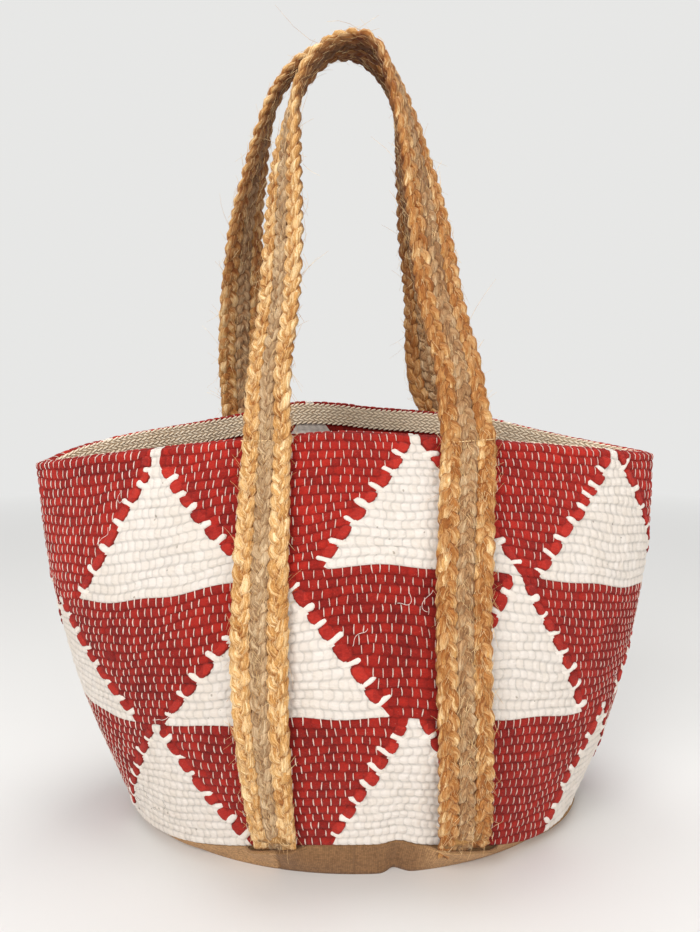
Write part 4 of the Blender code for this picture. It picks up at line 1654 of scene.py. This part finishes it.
@dataclass
class Handle:
    """One strap: an outer, a middle and an inner plait side by side, on a thin core."""

    word: str
    strap: StrapPath
    warmth: tuple[float, float]
    seed: int
    outer_width: float = 0.0129
    middle_width: float = 0.0118
    pitch: float = 0.0111
    crossings: tuple[float, ...] = (0.0094, 0.0081, 0.0097)
    core_depth: float = 0.0040
    core_margin: float = 0.0035
    core_half_height: float = 0.0007
    stitch_margin: float = 0.001
    stitch_height: float = 0.0055
    stitch_swing: float = 0.0008
    stitch_waves: int = 7
    stitch_half_width: float = 0.00038

    def core(self) -> tuple[Array, Faces]:
        """Sweep a thin flat ribbon through the middle of the plaits, which closes their gaps.

        Returns:
            Points and faces.
        """
        inner = slice(4, -4)
        outward = self.strap.outward[None, inner]
        half_width = self.pitch + 0.5 * self.outer_width - self.core_margin
        return swept(self.strap.path[inner] + outward * self.core_depth, outward,
                     half_width * self.strap.breadth[None, inner], self.core_half_height, 4)

    def stitches(self) -> tuple[Array, Faces]:
        """Sweep a thread across the strap on each leg at the rim, at the height h + d cos(2 pi n x).

        Returns:
            Points and faces.
        """
        strap = self.strap
        over = np.abs(strap.over_rim)
        at = np.array([np.argmin(np.where(here, over, 1.0)) for here in (strap.on_left, ~strap.on_left)])
        x = np.linspace(-1.0, 1.0, 49)[None, :, None]
        reach = self.pitch + 0.5 * self.outer_width - self.stitch_margin
        height = self.stitch_height + self.stitch_swing * np.cos(FULL_TURN * self.stitch_waves * x)
        path, across, outward = (values[at][:, None] for values in (strap.path, strap.across, strap.outward))
        centres = path + across * reach * x + outward * height
        return swept(centres, np.broadcast_to(outward, centres.shape), self.stitch_half_width,
                     self.stitch_half_width, 5)

    def build(self, golden: Material, grey: Material, dark: Material, thread: Material) -> None:
        """Build and dress the core, the three plaits and the stitches at the rim.

        Args:
            golden: The finish of the outer and inner plait.
            grey: The finish of the middle plait.
            dark: The core's finish.
            thread: The stitches' finish.
        """
        core = make_piece(f"{self.word}_strap_core", *self.core(), dark)
        for number, (place, width, material) in enumerate((
                ("outer", self.outer_width, golden), ("middle", self.middle_width, grey),
                ("inner", self.outer_width, golden))):
            plait = Plait(lane=(number - 1.0) * self.pitch, width=width, crossing=self.crossings[number])
            points, faces, uv, values = plait.strands(self.strap, self.warmth, self.seed + number)
            piece = make_piece(f"{self.word}_{place}_plait", points, faces, material, uv=uv, values=values)
            slot = "grey_jute" if place == "middle" else "golden_jute"
            dress([piece], f"{self.word}_handle_{place}_braid")
        dress((core, make_piece(f"{self.word}_strap_stitches", *self.stitches(), thread)))


@dataclass
class LooseFibres:
    """Fine jute hairs that stand off the straps, and cotton threads on the cloth."""

    hairs_per_strap: int = 3000
    lying_share: float = 0.74
    lying_share_on_wall: float = 0.93
    strap_half_width: float = 0.0168
    strap_faces: tuple[float, float] = (0.0006, 0.0072)
    edge_faces: tuple[float, float] = (0.002, 0.007)
    inner_share: float = 0.4
    long_share: float = 0.12
    long_factor: float = 2.2
    length_shape: float = 4.0
    length_scale: float = 0.0016
    lying_half_thickness: float = 0.00018
    standing_half_thickness: float = 0.00012
    thread_half_thickness: float = 0.00015
    thread_height: float = 0.0014
    thread_rise: float = 0.0012

    def hairs_on(self, strap: StrapPath, seed: int) -> tuple[Array, ...]:
        """Scatter bent hairs: most lie on the plaits, the others stand off the strap's edges.

        A hair runs as root + L (a t + b t^2), with t from 0 to 1, an aim a and a bend b.

        Args:
            strap: The strap that they grow from.
            seed: Where the scatter comes from.

        Returns:
            The hairs' centres, their up directions and their half thickness.
        """
        draw = np.random.default_rng(seed)
        count = self.hairs_per_strap
        at = draw.integers(4, len(strap.path) - 4, count)
        across, outward = strap.across[at], strap.outward[at]
        over_rim = strap.over_rim[at] > 0.0
        lying = draw.random(count) < np.where(over_rim, self.lying_share, self.lying_share_on_wall)
        edge = draw.choice((-1.0, 1.0), count)
        spread = np.where(lying, draw.uniform(-1.0, 1.0, count), edge)
        inner = over_rim & (draw.random(count) < self.inner_share)
        inner_face, outer_face = self.strap_faces
        at_edge = draw.uniform(*self.edge_faces, count)
        face = np.where(inner, inner_face, np.where(lying, outer_face, at_edge))
        root = (strap.path[at] + across * (self.strap_half_width * spread * strap.breadth[at])[:, None]
                + outward * face[:, None])
        sideways = np.where(lying, draw.normal(0.0, 0.42, count), edge * np.abs(draw.normal(0.5, 0.4, count)))
        rising = np.where(lying, np.abs(draw.normal(0.03, 0.05, count)), draw.normal(0.10, 0.25, count))
        rising = rising * np.where(inner, -1.0, 1.0)
        aim = unit(across * sideways[:, None] + outward * rising[:, None]
                   + strap.tangent[at] * draw.choice((-1.0, 1.0), (count, 1)))
        bend = (across * (np.where(lying, 0.22, 0.35) * draw.normal(0.0, 1.0, count))[:, None]
                + outward * (np.where(lying, 0.02, 0.25) * draw.normal(0.0, 1.0, count))[:, None])
        long = over_rim & ~lying & (draw.random(count) < self.long_share)
        factor = np.where(long, self.long_factor, 1.0)
        length = (factor * draw.gamma(self.length_shape, self.length_scale, count))[:, None, None]
        t = np.linspace(0.0, 1.0, 4)[:, None]
        centres = root[:, None] + length * (aim[:, None] * t + bend[:, None] * t**2)
        up = np.broadcast_to(unit(outward + 0.3 * across)[:, None], centres.shape)
        thick = np.where(lying, self.lying_half_thickness, self.standing_half_thickness)[:, None]
        return centres, up, thick * (1.0 - 0.55 * t.T)

    def jute_hairs(self, straps: Sequence[StrapPath], material: Material) -> None:
        """Build and dress the hairs of all the straps as one piece.

        Args:
            straps: The straps.
            material: The hairs' finish.
        """
        hairs = [self.hairs_on(strap, 40 + number) for number, strap in enumerate(straps)]
        centres, up, thick = (np.concatenate(parts) for parts in zip(*hairs))
        dress([make_piece("jute_hairs", *swept(centres, up, thick, thick, 3), material)])

    def cotton_threads(self, name: str, cloth: Cloth, starts: Sequence[tuple[float, float]], seed: int,
                       thickness_share: float, material: Material) -> None:
        """Lay curly loose threads on the cloth, and dress them as one piece.

        The heading is a start plus a sin(b t) plus c t along the thread, and the place is
        the running sum of its steps.

        Args:
            name: The piece's name.
            cloth: The cloth under the threads.
            starts: Where each thread starts, in units and rows.
            seed: Where the curls come from.
            thickness_share: How thick they are, as a share of a sewing thread.
            material: The threads' finish.
        """
        draw = np.random.default_rng(seed)
        first_u, first_v = np.array(starts).T[:, :, None]
        each, rings = first_u.shape, 26
        t = np.linspace(0.0, 1.0, rings)[None, :]
        heading = (draw.uniform(0.0, FULL_TURN, each)
                   + draw.uniform(0.4, 1.4, each) * np.sin(draw.uniform(3.0, 6.0, each) * t)
                   + draw.uniform(-2.0, 2.0, each) * t)
        stride = draw.uniform(1.2, 3.2, each) / rings
        u = first_u + np.cumsum(np.cos(heading) * stride, axis=1)
        v = first_v + np.cumsum(np.sin(heading) * stride, axis=1)
        rise = np.abs(np.sin(FULL_TURN * t + draw.uniform(0, 3, each)))
        proud = self.thread_height + self.thread_rise * rise
        thick = self.thread_half_thickness * thickness_share
        shape = swept(cloth.place(u, v, proud), cloth.outward(u, v), thick, thick, 4)
        dress([make_piece(name, *shape, material)])


# The studio


@dataclass
class Studio:
    """Pale floor, soft lamps and the camera at the photograph's place."""

    offset: tuple[float, float]
    camera_place: tuple[float, float, float] = (0.003, -0.522, 0.302)
    camera_tilt_down: float = 5.4
    focal_pixels: float = 700.0
    picture_height: int = 932
    sensor: float = 36.0
    floor_radius: float = 6.0
    floor_colour: Colour = (0.78, 0.77, 0.75)
    backdrop: Colour = (0.80, 0.80, 0.79)
    daylight: float = 0.40
    aim: tuple[float, float, float] = (0.0, 0.0, 0.25)
    lamps: tuple[tuple[str, tuple[float, float, float], float, float], ...] = (
        ("key_lamp", (-0.9, -1.4, 1.2), 1.1, 25.5), ("fill_lamp", (1.1, -1.3, 0.6), 1.3, 13.0),
        ("top_lamp", (0.1, 0.3, 1.7), 1.0, 14.0))

    def hang(self, name: str, data: bpy.types.ID, place: tuple[float, float, float]) -> Piece:
        """Link a camera or lamp at its place.

        Args:
            name: Its name.
            data: The camera or the lamp.
            place: Where it hangs.

        Returns:
            The linked object.
        """
        item = bpy.data.objects.new(name, data)
        item.location = place
        bpy.context.scene.collection.objects.link(item)
        return item

    def camera(self) -> None:
        """Place the camera: its lens is the focal length in pixels, scaled to the sensor."""
        lens = bpy.data.cameras.new("photo_camera")
        lens.sensor_fit = "VERTICAL"
        lens.sensor_height = self.sensor
        lens.lens = self.focal_pixels * self.sensor / self.picture_height
        lens.clip_start = 0.01
        x, y, z = self.camera_place
        item = self.hang("photo_camera", lens, (x + self.offset[0], y + self.offset[1], z))
        item.rotation_euler = (math.radians(90.0 - self.camera_tilt_down), 0.0, 0.0)
        bpy.context.scene.camera = item

    def light(self) -> None:
        """Hang the square lamps, which look at the middle of the bag."""
        for name, place, size, watts in self.lamps:
            lamp = bpy.data.lights.new(name, "AREA")
            lamp.size, lamp.energy = size, watts
            way = Vector(self.aim) - Vector(place)
            self.hang(name, lamp, place).rotation_euler = way.to_track_quat("-Z", "Y").to_euler()

    def floor(self) -> None:
        """Lay a round floor that fades into the backdrop's colour far from the bag."""
        rings, around = 24, 64
        rho = self.floor_radius * np.linspace(0.0, 1.0, rings + 1)[1:, None] ** 2
        turn = FULL_TURN * np.arange(around) / around
        ring = np.stack((rho * np.cos(turn), rho * np.sin(turn), 0.0 * rho * turn), axis=-1).reshape(-1, 3)
        spoke = np.arange(around)
        fan = np.stack((0 * spoke + len(ring), spoke, (spoke + 1) % around), axis=-1)
        nodes = Nodes(bpy.data.materials.new("studio_floor"))
        nodes.plug(self.floor_colour, nodes.shader.inputs["Base Color"])
        nodes.plug(0.6, nodes.shader.inputs["Roughness"])
        length = nodes.add("VectorMath", {0: nodes.place()}, "Value", operation="LENGTH")
        nodes.show(length.spread(0.5, 2.0) * nodes.seen_directly(),
                   nodes.add("Emission", {"Color": self.backdrop}))
        make_piece("studio_floor", np.vstack((ring, np.zeros((1, 3)))),
                            [grid_faces(rings, around, wrap_columns=True), fan], nodes.owner)

    def world(self) -> None:
        """Set a plain world: one strength for light, and the backdrop's colour for direct sight."""
        bpy.context.scene.world = bpy.data.worlds.new("studio_world")
        nodes = Nodes(bpy.context.scene.world)
        nodes.plug((1.0, 1.0, 1.0), nodes.shader.inputs["Color"])
        nodes.plug(self.daylight, nodes.shader.inputs["Strength"])
        nodes.show(nodes.seen_directly(), nodes.add("Background", {"Color": self.backdrop}))

    def build(self) -> None:
        """Set up the camera, lamps, floor and world."""
        self.camera()
        self.light()
        self.floor()
        self.world()
        bpy.context.scene.view_settings.view_transform = "Standard"


def bag_straps(wall: WallShape) -> list[StrapPath]:
    """Give the front and the back strap, with their legs as the photograph shows them.

    Args:
        wall: The wall that they run up.

    Returns:
        The two straps.
    """
    front = (StrapLeg((-0.0433, -0.0510, -0.0509), 0.078, (0.0, 0.0003, 0.0060, 0.0063, 0.0029, -0.0004, 0.0),
                      (0.0, 17.0, 28.0, 36.0, 57.0, 84.0, 84.5), (0.79, 1.04, 0.92, 0.96, 1.00)),
             StrapLeg((0.0746, 0.0713, 0.0811), 0.482, (0.0, 0.0058, 0.0008, -0.0001, -0.0016, -0.0019, 0.0),
                      (0.0, 13.9, 15.0, 24.4, 50.2, 65.1, 84.5), (1.02, 1.03, 1.07, 1.01, 0.98)))
    back = (StrapLeg((-0.0790, -0.0800, -0.0824), 0.034, (0.0, -0.0018, 0.0006, 0.0036, 0.0068, 0.0030, 0.0),
                     (0.0, 11.4, 25.5, 54.0, 82.0, 98.0, 102.0), (1.0, 1.0, 1.08, 1.04, 0.95)),
            StrapLeg((0.0770, 0.0780, 0.0814), 0.573, (0.0, -0.0006, 0.0007, -0.0008, 0.0015, 0.0067, 0.0),
                     (0.0, 3.8, 37.8, 61.6, 89.8, 99.7, 102.0), (1.0, 1.0, 1.07, 0.95, 0.96)))
    return [StrapPath(wall, Side.FRONT, front, arch_x=0.0070, arch_height=0.5399),
            StrapPath(wall, Side.BACK, back, arch_x=0.0, arch_height=0.5532)]


def main() -> None:
    """Build the bag and its studio in order."""
    low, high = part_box("woven_body")
    widest_level = 43.0 / 44.0
    packed_x = 0.5 * (low.x + high.x) - WallShape().middle(widest_level)
    offset = (packed_x, 0.5 * (low.y + high.y))
    wall = WallShape(offset)
    Studio(offset).build()
    cloth = Cloth(wall)

    weave = CottonWeave().material()
    turned = CottonWeave("turned_cotton", red_deep=(0.26, 0.011, 0.008), red=(0.57, 0.034, 0.020),
                         red_crevice_shade=0.40, white_crevice_shade=0.72, lower_red=0.92).material()
    golden = JuteFinish("golden_jute", brown=(0.40, 0.155, 0.032), middle=(0.70, 0.365, 0.112),
                        pale=(0.98, 0.73, 0.40), rust=(0.56, 0.36, 0.20)).material()
    grey = JuteFinish("grey_jute", brown=(0.26, 0.140, 0.062), middle=(0.47, 0.290, 0.145),
                      pale=(0.72, 0.52, 0.31), rust=(0.74, 0.57, 0.42), rust_from=0.64,
                      crevice_shade=(0.52, 0.40, 0.30)).material()
    hair = CottonThread("jute_hair", (0.50, 0.25, 0.075), (0.95, 0.70, 0.38), grain=260.0,
                        dull_below=0.44, bright_above=0.66).material()
    warp, white, ground, tape, core, dark_hair = (
        CottonThread(name, dull, bright).material() for name, dull, bright in (
            ("warp_thread", (0.66, 0.44, 0.36), (0.90, 0.76, 0.67)),
            ("white_thread", (0.80, 0.70, 0.62), (0.90, 0.82, 0.76)),
            ("tape_ground", (0.54, 0.42, 0.29), (0.73, 0.59, 0.43)),
            ("herringbone_cotton", (0.86, 0.70, 0.50), (0.98, 0.86, 0.68)),
            ("jute_core", (0.26, 0.12, 0.035), (0.50, 0.27, 0.09)),
            ("dark_hair", (0.07, 0.045, 0.03), (0.12, 0.08, 0.05))))

    WovenWall(cloth, TrianglePattern()).build(weave, warp, turned)
    RimTape(cloth).build(ground, tape)
    BasePanel(wall).build(CanvasFinish().material())
    straps = bag_straps(wall)
    # The pairs brown and darken the left and right legs, partly as painted shade on the right legs.
    for word, strap, warmth, seed in (
            ("front", straps[0], (-0.6, 1.9), 21), ("back", straps[1], (0.5, 1.7), 31)):
        Handle(word, strap, warmth, seed).build(golden, grey, core, hair)
    fibres = LooseFibres()
    fibres.jute_hairs(straps, hair)
    fibres.cotton_threads("loose_cotton_threads", cloth, (
        (5.0, 19.0), (9.0, 17.2), (2.0, 21.5), (-27.0, 4.0), (-30.0, 9.0), (-20.0, 28.0), (33.0, 13.6),
        (35.0, 27.0), (-38.0, 16.0), (12.0, 29.8), (-12.0, 33.0), (60.0, 12.0), (80.0, 20.0), (100.0, 30.0),
        (120.0, 8.0), (-24.0, 41.0), (-26.0, 36.0)), 51, 1.0, white)
    fibres.cotton_threads("dark_hairs", cloth, (
        (-28.0, 38.5), (-30.0, 40.0), (-26.0, 41.2), (-31.5, 41.5), (-24.5, 39.5)), 53, 0.45, dark_hair)


if __name__ == "__main__":
    main()
